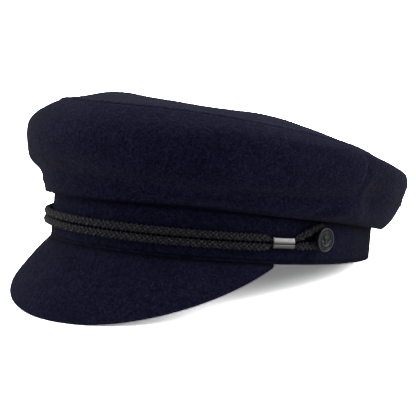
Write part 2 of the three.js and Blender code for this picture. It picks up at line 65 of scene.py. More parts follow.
# The row of a side panel that is the roll's lowest edge, the rows from there to the top seam, and the
# degrees between a side panel's columns
ROLL_ROW = 13
SIDE_ROWS = 80
SIDE_STEP = 0.75
# The cloth behind the roll: how far it reaches above the band's top, then two rows further down, each
# its distance from the band and its share of the hang, and its turn towards the roll's lowest edge
LEG_ABOVE = 0.6
LEG_ROWS = [(0.15, 0.12), (0.2, 0.45)]
LEG_TURN = (0.3, 0.16)
# Steps round a turned-in seam edge
SEAM_STEPS = 4
# Where the two side seams lie, degrees from the front
SIDE_SEAM = 93.0

# Outer surface of the crown's side, row by row from the band's seam up to the top seam.
# Five places round the head: front, front corner, side, back corner, back.
# The first list is shares of the crown's flare, the second shares of its rise above the band.
ROWS = [
    ((0.29, 0.24, 0.17, 0.30, 0.29), (-0.10, -0.08, -0.165, -0.31, -0.34)),
    ((0.33, 0.32, 0.45, 0.51, 0.59), (0.00, 0.01, -0.07, -0.22, -0.24)),
    ((0.36, 0.44, 0.46, 0.71, 0.91), (0.16, 0.10, 0.10, -0.05, -0.12)),
    ((0.67, 0.78, 0.66, 0.86, 1.00), (0.34, 0.28, 0.27, 0.06, 0.02)),
    ((0.84, 0.89, 0.84, 0.96, 1.00), (0.56, 0.58, 0.48, 0.24, 0.12)),
    ((0.62, 0.74, 0.76, 0.84, 0.83), (0.79, 0.80, 0.66, 0.38, 0.22)),
    ((0.05, 0.15, 0.41, 0.56, 0.54), (1.00, 0.97, 0.76, 0.35, 0.32)),
]

# Soft dents in the side: degrees from the front (more than zero on the wearer's left), spread in
# degrees, place and height as shares of the side, depth as a share of the flare, drop of the rise
SIDE_DENTS = [
    (103, 8, 0.42, 0.16, 0.12, 0.0),
    (70, 18, 0.72, 0.20, 0.05, 0.0),
    (45, 12, 0.42, 0.14, -0.04, 0.0),
    (92, 9, 0.24, 0.15, -0.22, 0.0),
    (45, 24, 0.17, 0.10, -0.10, 0.0),
    (132, 13, 0.60, 0.20, 0.06, 0.0),
    (-103, 8, 0.45, 0.16, 0.10, 0.0),
    (-138, 13, 0.58, 0.20, 0.07, 0.0),
    (-45, 32, 0.00, 0.25, 0.0, 0.065),
    (-52, 24, 1.00, 0.30, 0.0, 0.05),
]

# Soft dents in the top: across, along and spread as shares of its half width and length, depth of the dome
TOP_DENTS = [
    (-0.52, -0.40, 0.20, -0.42),
    (0.14, -0.46, 0.34, 0.38),
    (-0.40, 0.10, 0.32, 0.11),
    (0.09, 0.54, 0.29, 0.08),
    (-0.18, -0.68, 0.19, -0.12),
]

# Small creases in the side's cloth, each a soft line between two places given as degrees from the
# front and share of the side's height, then its width and its depth in millimetres
CREASES = [
    (85, 0.27, 77, 0.08, 3.2, 1.6),
    (84, 0.19, 72, 0.14, 4.0, 1.2),
    (87, 0.26, 50, 0.42, 5.0, 1.1),
    (60, 0.17, 28, 0.17, 5.0, -1.1),
    (96, 0.22, 110, 0.14, 4.0, 0.6),
    (60, 0.80, 84, 0.72, 4.0, 0.35),
    (20, 0.86, 40, 0.93, 3.0, 0.35),
    (112, 0.62, 128, 0.48, 4.0, 0.5),
    (-60, 0.75, -30, 0.85, 4.0, 0.4),
    (-88, 0.30, -80, 0.11, 3.4, 1.1),
    (-82, 0.35, -36, 0.34, 5.0, 1.2),
    (-60, 0.17, -28, 0.17, 5.0, -0.9),
    (-96, 0.30, -112, 0.16, 4.0, 0.7),
    (160, 0.70, 196, 0.66, 5.0, 0.5),
]

# The cloth raised beside a crease: height as a share of its depth, and place in widths
CREASE_SIDES = (0.45, 1.6)

# Millimetres round the crown's side for a degree, and up the side from the roll to the top seam
SIDE_PER_DEGREE = 1.75
SIDE_HEIGHT = 80
# Radius and height of the ring in the noise that the side's unevenness is taken from
NOISE_RING = (100, 150)
# Beside a side seam: depth of the valley and its spread to the front and to the back, then the height,
# place and spread of the swell and of the small ridge behind it
VALLEY = (0.45, 5.5, 2.4)
VALLEY_SWELL = (0.45, 6.0, 3.5)
VALLEY_RIDGE = (0.15, 1.2, 0.8)
# The cloth's unevenness: height and size of its swells, and where in the noise they are taken
SIDE_UNEVEN = [(0.75, 34, (0, 0, 0)), (0.30, 13, (7, 3, 1))]
TOP_UNEVEN = [(0.7, 30, 4), (0.3, 12, 9)]
# Puckers along the top seam: size, height on the side, and height on the top
PUCKER_SIZE = 4.5
SIDE_PUCKER = 0.12
TOP_PUCKER = 0.15
# The side's edge is drawn in towards the top seam: how much, and over what height
EDGE_PULL = 0.35
EDGE_PULL_HEIGHT = 9
# The seam allowance felt through the top's rim: height, place inside the seam and width of its ridge,
# then the height of its step and where that begins and ends
RIM_RIDGE = (0.45, 1.5, 1.1)
RIM_STEP = (0.45, 6.2, 8.2)
# How strongly the nap is made paler along that ridge, as rubbed nap and a painted highlight, and how wide
RIM_WEAR_AND_HIGHLIGHT = (0.8, 0.7)
# The top's columns, the share of its radius where the rim begins to follow the side's edge, the rows'
# distances inside the seam, and the rings within them
TOP_COLUMNS = 320
RIM_SHARE = 0.72
TOP_MARGIN = 60
TOP_INSIDES = [TOP_MARGIN - 2.5 * k for k in range(20)] + [10.5 - 0.5 * k for k in range(19)]
CENTRE_RINGS = 12

# Columns made paler beside a side seam, rubbed nap with a painted highlight, on the back panel and on the
# front one, the shares of the rows where that begins and is full, and how many rows round the roll's lowest
# edge get painted shade
SEAM_WEAR_AND_HIGHLIGHT = (6, 4)
SEAM_HIGHLIGHT_ROWS = (0.35, 0.65)
ROLL_SHADE_ROWS = 1.5

# One quarter of the chin cord round a ferrule: distance past its end, then half the distance between
# the two runs, the strand's thickness and the middle's rise as shares of its diameter
CORD_BEFORE_FERRULE = [(-6.5, 0.53, 1.0, 0.0), (-4.2, 0.5, 0.9, 0.0), (-2.4, 0.42, 0.68, 0.0)]
CORD_AFTER_FERRULE = [
    (2.2, 0.44, 0.7, 0.1),
    (4.4, 0.53, 0.92, 0.21),
    (8.0, 0.68, 1.0, 0.41),
    (12.0, 0.85, 1.0, 0.62),
    (16.0, 1.02, 1.0, 0.8),
]
CORD_LOOP_HALF = 1.09
CORD_LOOP_RISE = 0.87
CORD_SAG = 0.4
CORD_SQUEEZED = 2.0
# How far past a ferrule's ends the cord is at its narrowest, and the room left between its runs
CORD_NARROW = 0.6
CORD_ROOM = 0.2

# The braid: length of one turn, step along it, the core's radius, then a strand's radius, sides,
# distance from the middle, and how far it weaves in and out
BRAID_LEAD = 11.4
BRAID_STEP = 0.42
CORE_RADIUS = 0.7
STRAND_RADIUS = 0.54
STRAND_SIDES = 6
STRAND_REACH = 1.32
STRAND_WEAVE = 0.54
# How much painted shade darkens a strand where it dips under another
STRAND_SHADE = 0.85

FERRULE_WALL = 0.5
FERRULE_STEPS = 12
# How much a ferrule is nipped in at its middle, and the height of the groove between its two lobes
FERRULE_NIP = 0.05
FERRULE_GROOVE = -0.52
# Spread of the darkening in that groove, and the painted shade on the lower lobe below it: strength, where
# it begins and is full
GROOVE_DARKENING = 0.44
LOW_PAINTED_SHADE = (0.26, 0.5, 0.9)
# Outer face of a ferrule in section, from its top edge down to its bottom: out from the cord, and up
FERRULE_FACE = [
    (0.0, 3.2),
    (0.70, 3.08),
    (1.12, 2.65),
    (1.42, 1.9),
    (1.70, 1.1),
    (1.88, 0.02),
    (1.46, FERRULE_GROOVE),
    (1.86, -1.02),
    (1.92, -1.5),
    (1.86, -2.1),
    (1.45, -2.8),
    (0.75, -3.1),
    (0.0, -3.2),
]
FERRULE_TO_BUTTON = 25.5
BUTTON_ANGLE = -5.5
BUTTON_THICKNESS = 2.4
BUTTON_TURN = 4.0
BUTTON_BEADS = 32
SHANK_RADIUS = 1.2
# Insets of the button's face, from its rim inwards: share of the radius, then a move up in metres
BUTTON_INSETS = [(0.06, 0), (0.07, 0), (0.04, -0.0007), (0.05, 0), (0.4, 0.0001)]

# Columns round the band, cuts up it, and half the width of its closing seam at the back, in metres
BAND_COLUMNS = 320
BAND_CUTS = 24
BACK_SEAM = 0.0009
# Rows of the shallow groove along the band's folded hem, and its depth, in metres
HEM_GROOVE = (0.0014, 0.0020, 0.0026)
HEM_GROOVE_DEPTH = 0.0006
# How strongly painted shade darkens the hem's groove and its lower edge, the spread at its groove and at
# its edge in metres, and the millimetres under the roll where the painted shade under the roll begins and
# is full
HEM_SHADE = (0.8, 0.0005, 0.0006)
SHADE_UNDER_ROLL = (2.1, 0.9)

# The peak: degrees from its middle to a tip, how it narrows, its slope in degrees at the middle and the
# tips, how far its lines turn straight ahead, its bow, and how far its root reaches under the band
PEAK_HALF_ANGLE = 70
PEAK_TAPER = 2.06
PEAK_DROP_MIDDLE = 57.3
PEAK_DROP_END = 42.9
PEAK_STRAIGHTNESS = 0.31
PEAK_BOW = 1.2
PEAK_ROOT = 3.4
# Its columns and rows, how strongly and how far painted shade darkens its root at the band, and the
# clearance that its root keeps under the band, with the millimetres over which it gets there
PEAK_GRID = (180, 26)
PEAK_ROOT_SHADE = (0.8, 1.2)
PEAK_TUCK = (0.04, 0.8)
# The share of the peak's rows that its root takes, and where its outermost column lies towards the tip
PEAK_ROOT_SHARE = 0.12
PEAK_LAST = 0.985

# Nap made paler along the seams, as rubbed nap and a painted highlight, and the lint caught in it
WORN_NAP_AND_HIGHLIGHT = (0.024, 0.023, 0.045)
LINT = (0.075, 0.075, 0.095)

# The studio's area lights: name, place and target in metres, width, height and power
LIGHTS = [
    ("top", (0.0, 0.15, 1.5), (0, 0, 0), 1.6, 1.6, 26.0),
    ("right", (1.0, 0.75, 0.65), (0, 0, 0.05), 0.8, 0.9, 12.0),
    ("left", (-0.95, -0.85, 0.6), (0, 0, 0.05), 0.8, 0.9, 10.5),
    ("front", (0.5, -1.1, 0.9), (0, 0, 0.04), 0.9, 0.7, 4.0),
]
# The world's strength for the cap and as the camera sees it, and the floor's glow
WORLD_LIGHT = 0.25
WORLD_SEEN = 1.05
FLOOR_GLOW = 0.16

# The camera, found from the photograph: degrees round from the front and up, distance, millimetres a
# pixel, the pixel where the cap's own origin falls, the cap's tip there, and the picture's side
VIEW_TURN = 43.0553
VIEW_LIFT = 9.6828
VIEW_DISTANCE = 971.4126
MM_PER_PIXEL = 0.5958166
ORIGIN_PIXEL = (212.5569, 244.7419)
VIEW_TIP = math.radians(7.56031)
PICTURE = 416
SENSOR = 36
# How far the photograph overexposes its floor
FLOOR_EXPOSURE = 10.0


def length(name, description, default):
    """A size in metres that the panel shows."""
    return bpy.props.FloatProperty(
        name=name, description=description, default=default, min=0.0001, precision=4, unit="LENGTH"
    )


def colour(name, description, default):
    """A colour that the panel shows."""
    return bpy.props.FloatVectorProperty(
        name=name, description=description, default=default, min=0.0, max=1.0, size=3, subtype="COLOR"
    )


class CapSizes(bpy.types.PropertyGroup):
    """Sizes of the cap."""

    band_width: length("Band width", "Across the band from side to side", 0.172)
    band_length: length("Band length", "Along the band from front to back", 0.208)
    band_height: length("Band height", "Height of the upright band", 0.032)
    band_wall: length("Band wall", "Thickness of the band's doubled cloth", 0.0026)
    crown_rise: length("Crown rise", "From the band's top to the top seam at the front", 0.048)
    crown_flare: length("Crown flare", "How far the crown hangs out over the band", 0.021)
    crown_dome: length("Crown dome", "How far the top swells above its rim", 0.0135)
    cloth: length("Cloth", "Thickness of the crown's wool", 0.0016)
    peak_reach: length("Peak reach", "Length of the peak's middle line", 0.0464)
    peak_thickness: length("Peak thickness", "Thickness of the covered peak", 0.0024)
    cord_diameter: length("Cord diameter", "Diameter of the braided cord", 0.0047)
    cord_height: length("Cord height", "Height of the cord's middle on the band", 0.0121)
    ferrule_length: length("Ferrule length", "Length of each metal ferrule", 0.0137)
    button_diameter: length("Button diameter", "Diameter of the buttons", 0.0134)
    button_height: length("Button height", "Height of the buttons on the band", 0.0149)


class CapColours(bpy.types.PropertyGroup):
    """Colours of the cap and its studio."""

    wool: colour("Wool", "The melton's own colour", (0.0020, 0.0018, 0.0070))
    wool_light: colour("Wool nap", "The lighter fibres of the nap", (0.0124, 0.0116, 0.0320))
    cord: colour("Cord", "The braid's yarn", (0.0024, 0.0024, 0.0034))
    ferrule: colour("Ferrule", "The crimped metal", (0.145, 0.141, 0.136))
    button: colour("Button", "The dark metal of the buttons", (0.020, 0.020, 0.0215))
    floor: colour("Floor", "The studio's floor", (0.72, 0.72, 0.72))


def drawn():
    """The sizes in millimetres, as the cap is drawn."""
    group = bpy.context.scene.cap_sizes
    return SimpleNamespace(**{name: 1000 * getattr(group, name) for name in CapSizes.__annotations__})


# Drawing helpers


def oval_normal(c, angle):
    """Outward normal of the band's oval, 0 being the wearer's left and -90 degrees the front."""
    return Vector((math.cos(angle) / c.band_width, math.sin(angle) / c.band_length, 0)).normalized()


def on_oval(c, angle, out, z):
    """A point outside the band's oval by out, at height z."""
    foot = Vector((c.band_width / 2 * math.cos(angle), c.band_length / 2 * math.sin(angle), z))
    return foot + oval_normal(c, angle) * out


def from_front(angle):
    """Degrees from the front, more than zero towards the wearer's left."""
    return math.degrees(math.atan2(math.cos(angle), -math.sin(angle)))


def around_head(values, angle):
    """Smooth curve through a row's five values, level at the front and the back."""
    place = min(abs(math.radians(from_front(angle))) / (math.pi / 4), 3.9999)
    i = int(place)
    t = place - i

    def slope(k):
        return 0.0 if k in (0, 4) else (values[k + 1] - values[k - 1]) / 2

    h = t * t * (3 - 2 * t)
    bend = slope(i) * t * (1 - t) ** 2 - slope(i + 1) * t * t * (1 - t)
    return values[i] * (1 - h) + values[i + 1] * h + bend


def spline(p0, p1, p2, p3, w):
    """Point between p1 and p2, at the share w, on the smooth curve through four points."""
    v0, v1 = (p2 - p0) / 2, (p3 - p1) / 2
    return (2 * p1 - 2 * p2 + v0 + v1) * w**3 + (3 * p2 - 3 * p1 - 2 * v0 - v1) * w**2 + v0 * w + p1


def along_curve(points, place):
    """Point at a place on the smooth curve through the points."""
    last = len(points) - 1
    i = max(0, min(int(place), last - 1))
    return spline(points[max(i - 1, 0)], points[i], points[i + 1], points[min(i + 2, last)], place - i)


def smoothstep(x, low, high):
    """Smooth step from 0 at low to 1 at high."""
    t = max(0.0, min(1.0, (x - low) / (high - low)))
    return t * t * (3 - 2 * t)


def evenly(points, count, cut=0.0):
    """Points evenly spaced on a line, with its last cut left off."""
    steps = [(b - a).length for a, b in zip(points, points[1:])]
    total = sum(steps) - cut
    result = []
    i, walked = 0, 0.0
    for k in range(count):
        target = total * k / (count - 1)
        while i < len(steps) - 1 and walked + steps[i] < target:
            walked += steps[i]
            i += 1
        result.append(points[i].lerp(points[i + 1], (target - walked) / max(steps[i], 1e-9)))
    return result


def fillet(edge, toward, out, inward, side, radius):
    """Rounded, turned-in edge of a panel at a seam, in a plane section.

    The panel comes towards edge along toward, out points across the seam and inward into the crown.
    side is 1 where inward lies to the left of toward. Returns the arc and the flange."""
    within = Vector((-toward.y, toward.x)) * side
    lean = max(min(out.dot(within), 0.9), -0.9)
    far = radius * (1 + lean) / max(inward.dot(within), 0.2)
    centre = edge - out * radius + inward * far
    start = -within
    turn = math.acos(max(-1.0, min(1.0, start.dot(out))))
    arc = []
    for k in range(SEAM_STEPS + 1):
        share = k / SEAM_STEPS
        heading = start * math.sin((1 - share) * turn) + out * math.sin(share * turn)
        arc.append(centre + heading.normalized() * radius)
    return arc + [arc[-1] + inward * FLANGE]


def piece_from(name, points, faces):
    """A new mesh piece in its place from points drawn in millimetres."""
    mesh = bpy.data.meshes.new(name)
    mesh.from_pydata([Vector(p) / 1000 for p in points], [], faces)
    mesh.transform(PLACE)
    mesh.update()
    obj = bpy.data.objects.new(name, mesh)
    bpy.context.scene.collection.objects.link(obj)
    return obj


def marked(obj, name, values):
    """Writes a value for each point that the piece's material reads by name."""
    obj.data.attributes.new(name, "FLOAT", "POINT").data.foreach_set("value", values)
    return obj


def make_active(obj):
    """Selects one object alone."""
    bpy.ops.object.select_all(action="DESELECT")
    obj.select_set(True)
    bpy.context.view_layer.objects.active = obj


def modify(obj, kind, **settings):
    """Adds a modifier with its settings and applies it."""
    modifier = obj.modifiers.new(kind.title(), kind)
    for name, value in settings.items():
        setattr(modifier, name, value)
    make_active(obj)
    bpy.ops.object.modifier_apply(modifier=modifier.name)


def started(name, add, **settings):
    """A new primitive, named and alone in edit mode."""
    bpy.ops.object.select_all(action="DESELECT")
    add(**settings)
    obj = bpy.context.object
    obj.name = obj.data.name = name
    make_active(obj)
    bpy.ops.object.mode_set(mode="EDIT")
    return obj


def pick(obj, kind, test):
    """Selects the edges or faces whose middle passes the test."""
    bpy.ops.mesh.select_mode(type=kind)
    bpy.ops.mesh.select_all(action="DESELECT")
    mesh = bmesh.from_edit_mesh(obj.data)
    for item in mesh.faces if kind == "FACE" else mesh.edges:
        middle = sum((v.co for v in item.verts), Vector()) / len(item.verts)
        item.select_set(test(middle, item))
    mesh.select_flush_mode()
    bmesh.update_edit_mesh(obj.data)


def bevelled(obj, width, segments, degrees):
    """Rounds the edges that are sharper than an angle."""
    settings = {"limit_method": "ANGLE", "angle_limit": math.radians(degrees)}
    modify(obj, "BEVEL", width=width, segments=segments, **settings)


def faced_out(obj, outward):
    """Makes a mesh's faces agree, and turns them all where outward adds up to less than zero."""
    make_active(obj)
    bpy.ops.object.mode_set(mode="EDIT")
    bpy.ops.mesh.select_all(action="SELECT")
    bpy.ops.mesh.normals_make_consistent(inside=False)
    bpy.ops.object.mode_set(mode="OBJECT")
    if sum(outward(p) for p in obj.data.polygons) < 0:
        obj.data.flip_normals()


def into_place(obj, matrix=PLACE):
    """Leaves edit mode and puts the mesh in its place, its object at the origin."""
    if obj.mode == "EDIT":
        bpy.ops.object.mode_set(mode="OBJECT")
    obj.data.transform(matrix @ obj.matrix_basis)
    obj.matrix_basis = Matrix.Identity(4)
    obj.data.update()


def uneven(obj, name, size, height, middle):
    """Soft swells of a size and height over a whole piece, in metres."""
    clouds = bpy.data.textures.new(name, "CLOUDS")
    clouds.noise_scale = size
    modify(obj, "DISPLACE", texture=clouds, texture_coords="LOCAL", strength=height, mid_level=middle)


def trimmed_at_floor(obj):
    """Presses flat what would stand below the floor."""
    make_active(obj)
    bpy.ops.object.mode_set(mode="EDIT")
    bpy.ops.mesh.select_all(action="SELECT")
    bpy.ops.mesh.bisect(
        plane_co=(0, 0, 0), plane_no=(0, 0, 1), clear_inner=True, use_fill=True, threshold=1e-7
    )
    bpy.ops.object.mode_set(mode="OBJECT")


def smooth(obj, degrees=40):
    """Smooth shading that keeps real edges."""
    make_active(obj)
    bpy.ops.object.shade_smooth_by_angle(angle=math.radians(degrees))


def dressed(obj, material, slot, *nodes):
    """Gives a finished piece its material and its body, and hides the nodes it stands for; its slot is not
    used.
    """
    obj.data.materials.clear()
    obj.data.materials.append(material)
    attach(obj, "root")
    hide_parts(*nodes)
    return obj


# Crown


def dent_at(c, angle, share):
    """How far the side's dents push a point out and up."""
    turned = from_front(angle)
    out = up = 0.0
    for at_angle, spread, at, tall, depth, drop in SIDE_DENTS:
        fall = math.exp(-(((turned - at_angle) / spread) ** 2) - ((share - at) / tall) ** 2)
        out -= depth * c.crown_flare * fall * math.sin(math.pi * share)
        up -= drop * c.crown_rise * fall
    return Vector((out, up))


def seam_valley(turned, share):
    """The soft valley along a side seam, steep on its back side, with a low swell behind it."""
    past = SIDE_PER_DEGREE * (abs(turned) - SIDE_SEAM)
    depth, before, behind = VALLEY
    push = -depth * math.exp(-((past / (before if past < 0 else behind)) ** 2))
    for height, at, spread in (VALLEY_SWELL, VALLEY_RIDGE):
        push += height * math.exp(-(((past - at) / spread) ** 2))
    return push * min(1.0, share / 0.15) * min(1.0, (1 - share) / 0.1)


def crease_at(turned, share):
    """Outward push of the small creases and of the cloth's own unevenness."""
    push = seam_valley(turned, share)
    for a0, s0, a1, s1, width, depth in CREASES:
        here = Vector((SIDE_PER_DEGREE * turned, SIDE_HEIGHT * share))
        start = Vector((SIDE_PER_DEGREE * a0, SIDE_HEIGHT * s0))
        end = Vector((SIDE_PER_DEGREE * a1, SIDE_HEIGHT * s1))
        along = end - start
        t = max(0.0, min(1.0, (here - start).dot(along) / along.length_squared))
        away = (here - start - along * t).length / width
        beside, at = CREASE_SIDES
        fold = beside * math.exp(-((away - at) ** 2)) - math.exp(-away * away)
        push += depth * fold * math.sin(math.pi * (0.15 + 0.7 * t))
    flat = math.radians(turned)
    wide, tall = NOISE_RING
    ring = Vector((math.cos(flat) * wide, math.sin(flat) * wide, share * tall))
    for height, size, shift in SIDE_UNEVEN:
        push += height * noise.noise(ring / size + Vector(shift))
    push *= math.sin(math.pi * min(max(share, 0.0), 1.0)) ** 0.7
    near = max(0.0, 1 - (1 - share) * 85 / EDGE_PULL_HEIGHT)
    pucker = SIDE_PUCKER * near * noise.noise(ring / PUCKER_SIZE + Vector((2, 9, 4)))
    return push - EDGE_PULL * near**3 + pucker


def side_line(c, angle, steps=72):
    """Outer line of the crown's side at one angle, from the roll's lowest point to the top seam."""
    outs = [around_head(out, angle) * c.crown_flare for out, up in ROWS]
    ups = [c.band_height + around_head(up, angle) * c.crown_rise for out, up in ROWS]
    rows = [Vector(row) for row in zip(outs, ups)]
    line = []
    for k in range(steps + 1):
        share = k / steps
        line.append(along_curve(rows, share * (len(rows) - 1)) + dent_at(c, angle, share))
    turned = from_front(angle)
    result = []
    for k, p in enumerate(line):
        ahead = (line[min(k + 1, steps)] - line[max(k - 1, 0)]).normalized()
        result.append(p + Vector((ahead.y, -ahead.x)) * crease_at(turned, k / steps))
    return result


def seam_cut(line):
    """Across the top seam, and into the crown along it."""
    along = ((line[-1] - line[-4]).normalized() + Vector((-1, 0.1))).normalized()
    return along, Vector((-along.y, along.x))


def side_profile(c, angle):
    """The side's cloth in section: up behind the roll, round it and up to the turned-in seam edge."""
    line = side_line(c, angle)
    low = line[0]
    top = c.band_height
    hang = top - low.y
    leg = [Vector((GAP + LEG_ROWS[0][0], top + LEG_ABOVE))]
    leg += [Vector((GAP + out, top - down * hang)) for out, down in LEG_ROWS]
    leg += [Vector((GAP + LEG_TURN[0] * (low.x - GAP), low.y + LEG_TURN[1] * hang)), low, line[6]]
    behind = evenly([along_curve(leg, 4 * k / 40) for k in range(41)], ROLL_ROW + 1)[:-1]
    along, inward = seam_cut(line)
    toward = (line[-1] - line[-4]).normalized()
    edge = line[-1] + along * (SEAM_LAP / 2)
    turned_in = fillet(edge, toward, along, inward, 1, TOP_SEAM_ROUND)
    cut = (turned_in[0] - line[-1]).length
    return behind + evenly(line, SIDE_ROWS, cut)[:-1] + turned_in


def side_panel(c, name, start, end):
    """One side panel of the crown between two angles in degrees, its two end edges turned in too."""
    count = round((end - start) / SIDE_STEP)
    room = (SIDE_SEAM_ROUND - SEAM_LAP / 2) / (c.band_length / 2)
    first, last = math.radians(start) + room, math.radians(end) - room
    beside = EDGE_STRIP / (c.band_length / 2)
    angles = [first + (last - first) * k / count for k in range(count + 1)]
    angles[1:1] = [first + beside]
    angles[-1:-1] = [last - beside]
    columns = [[on_oval(c, angle, p.x, p.y) for p in side_profile(c, angle)] for angle in angles]
    rows = len(columns[0])

    def turned_in(edge, before, inside):
        """Columns that round the panel's end edge inwards and follow it with a flange."""
        extra = [[] for _ in range(SEAM_STEPS + 1)]
        for j in range(rows):
            up = edge[min(j + 1, rows - 1)] - edge[max(j - 1, 0)]
            ahead = (edge[j] - before[j]).normalized()
            inward = ahead.cross(up).normalized() * inside
            for k in range(SEAM_STEPS + 1):
                turn = math.radians(90 / SEAM_STEPS * min(k + 1, SEAM_STEPS))
                deep = SIDE_SEAM_ROUND * (1 - math.cos(turn)) + (FLANGE if k == SEAM_STEPS else 0)
                extra[k].append(edge[j] + ahead * SIDE_SEAM_ROUND * math.sin(turn) + inward * deep)
        return extra

    head = turned_in(columns[0], columns[1], 1)[::-1]
    tail = turned_in(columns[-1], columns[-2], -1)
    columns = head + columns + tail
    points = [p for column in columns for p in column]
    last = len(columns) - 1
    # Rubbed nap and a painted highlight: paler beside the seams, in the upper rows
    reach = SEAM_WEAR_AND_HIGHLIGHT[start < -90]
    wear_and_highlight = [
        (min(k, last - k) <= reach) * smoothstep(j / rows, *SEAM_HIGHLIGHT_ROWS)
        for k in range(len(columns))
        for j in range(rows)
    ]
    faces = []
    for k in range(len(columns) - 1):
        for j in range(rows - 1):
            a = k * rows + j
            faces.append((a, a + rows, a + rows + 1, a + 1))
    # Painted shade: the wool is darkened along the roll's lowest edge, where it turns under
    painted_shade = [math.exp(-(((j - ROLL_ROW) / ROLL_SHADE_ROWS) ** 2)) for j in range(rows)] * len(columns)
    return marked(marked(piece_from(name, points, faces), "wear_and_highlight", wear_and_highlight), "painted_shade", painted_shade)


def top_panel(c, name):
    """The crown's top: follows the side's upper edge, swells in the middle, its rim turned in."""
    count = TOP_COLUMNS
    angles = [-math.pi / 2 + 2 * math.pi * k / count for k in range(count)]
    lines = [side_line(c, a) for a in angles]
    cuts = [seam_cut(line) for line in lines]
    edges = [line[-1] - cut[0] * (SEAM_LAP / 2) for line, cut in zip(lines, cuts)]
    rim = [on_oval(c, a, e.x, e.y) for a, e in zip(angles, edges)]
    backwards = rim[: count // 2 + 1]
    wide = max(p.x for p in rim)
    long = max(abs(p.y) for p in rim)

    def level(y):
        k = 0
        while k < len(backwards) - 2 and backwards[k + 1].y < y:
            k += 1
        low, high = backwards[k], backwards[k + 1]
        share = max(0.0, min(1.0, (y - low.y) / (high.y - low.y)))
        return low.z + (high.z - low.z) * share

    def height(x, y, share, lift, inside):
        rim_lift = lift * max(0.0, (share - RIM_SHARE) / (1 - RIM_SHARE)) ** 2
        z = level(y) + rim_lift + c.crown_dome * (1 - share * share)
        for across, along, spread, depth in TOP_DENTS:
            a = (x / wide - across) / spread
            b = (y / long - along) / spread
            z -= depth * c.crown_dome * math.exp(-a * a - b * b) * (1 - share * share)
        for tall, size, layer in TOP_UNEVEN:
            z += tall * noise.noise(Vector((x / size, y / size, layer))) * (1 - share**6)
        tall, at, spread = RIM_RIDGE
        z += tall * math.exp(-(((inside - at) / spread) ** 2))
        tall, begin, end = RIM_STEP
        z += tall * (1 - smoothstep(inside, begin, end))
        pucker = noise.noise(Vector((x / PUCKER_SIZE, y / PUCKER_SIZE, 2)))
        return z + TOP_PUCKER * math.exp(-inside / 5) * pucker

    points, faces = [], []
    for p, e, angle, (along, inward) in zip(rim, edges, angles, cuts):
        lift = p.z - level(p.y)
        flat = Vector((p.x, p.y))
        column = []
        for inside in TOP_INSIDES:
            share = 1 - inside / flat.length
            x, y = flat * share
            column.append(Vector((x, y, height(x, y, share, lift, inside))))
        inner, outer = column[-2], column[-1]
        toward = Vector(((outer.xy - inner.xy).length, outer.z - inner.z)).normalized()
        rest = Vector(((p.xy - outer.xy).length, p.z - outer.z)).normalized()
        toward = (toward + rest).normalized()
        turned = fillet(e, toward, -along, inward, -1, TOP_SEAM_ROUND)
        points += column + [on_oval(c, angle, q.x, q.y) for q in turned]
    turned_rows = SEAM_STEPS + 2
    rows = len(TOP_INSIDES) + turned_rows
    # Rubbed nap and a painted highlight along the rim's ridge
    strength, highlight_spread = RIM_WEAR_AND_HIGHLIGHT
    wear_and_highlight = [strength * math.exp(-(((inside - RIM_RIDGE[1]) / highlight_spread) ** 2)) for inside in TOP_INSIDES]
    wear_and_highlight += [0.0] * turned_rows
    for k in range(count):
        here, there = k * rows, (k + 1) % count * rows
        for j in range(rows - 1):
            faces.append((here + j, here + j + 1, there + j + 1, there + j))
    core = len(points)
    shares = [1 - TOP_MARGIN / Vector((p.x, p.y)).length for p in rim]
    for ring in range(1, CENTRE_RINGS):
        for p, share in zip(rim, shares):
            s = share * (1 - ring / CENTRE_RINGS)
            x, y = p.x * s, p.y * s
            points.append(Vector((x, y, height(x, y, s, 0, TOP_MARGIN))))
    middle = len(points)
    points.append(Vector((0, 0, height(0, 0, 0, 0, TOP_MARGIN))))
    for k in range(count):
        other = (k + 1) % count
        faces.append((core + k, k * rows, other * rows, core + other))
        for ring in range(CENTRE_RINGS - 2):
            a = core + ring * count
            faces.append((a + count + k, a + k, a + other, a + count + other))
        a = core + (CENTRE_RINGS - 2) * count
        faces.append((middle, a + k, a + other))
    obj = piece_from(name, points, faces)
    return marked(obj, "wear_and_highlight", wear_and_highlight * count + [0.0] * (len(points) - rows * count))


class CAP_OT_crown(bpy.types.Operator):
    """Builds the crown's three panels of wool cloth"""

    bl_idname = "cap.crown"
    bl_label = "Crown"

    def execute(self, context):
        c = drawn()
        wool = wool_material()
        front = side_panel(c, "crown_front_cloth", -90 - SIDE_SEAM, SIDE_SEAM - 90)
        back = side_panel(c, "crown_back_cloth", SIDE_SEAM - 90, 270 - SIDE_SEAM)
        top = top_panel(c, "crown_top_cloth")
        panels = [
            (front, "crown_front", "gathered", ["band_cloth"]),
            (back, "crown_back", "gathered", ["band_cloth"]),
            (top, "crown_top", "stretched", [front.name, back.name]),
        ]
        for obj, node, held, on in panels:
            modify(obj, "SOLIDIFY", thickness=c.cloth / 1000, offset=-1.0, use_even_offset=False)
            smooth(obj, 60)
            dressed(obj, wool, "wool", node)
        return {"FINISHED"}


# Band and peak


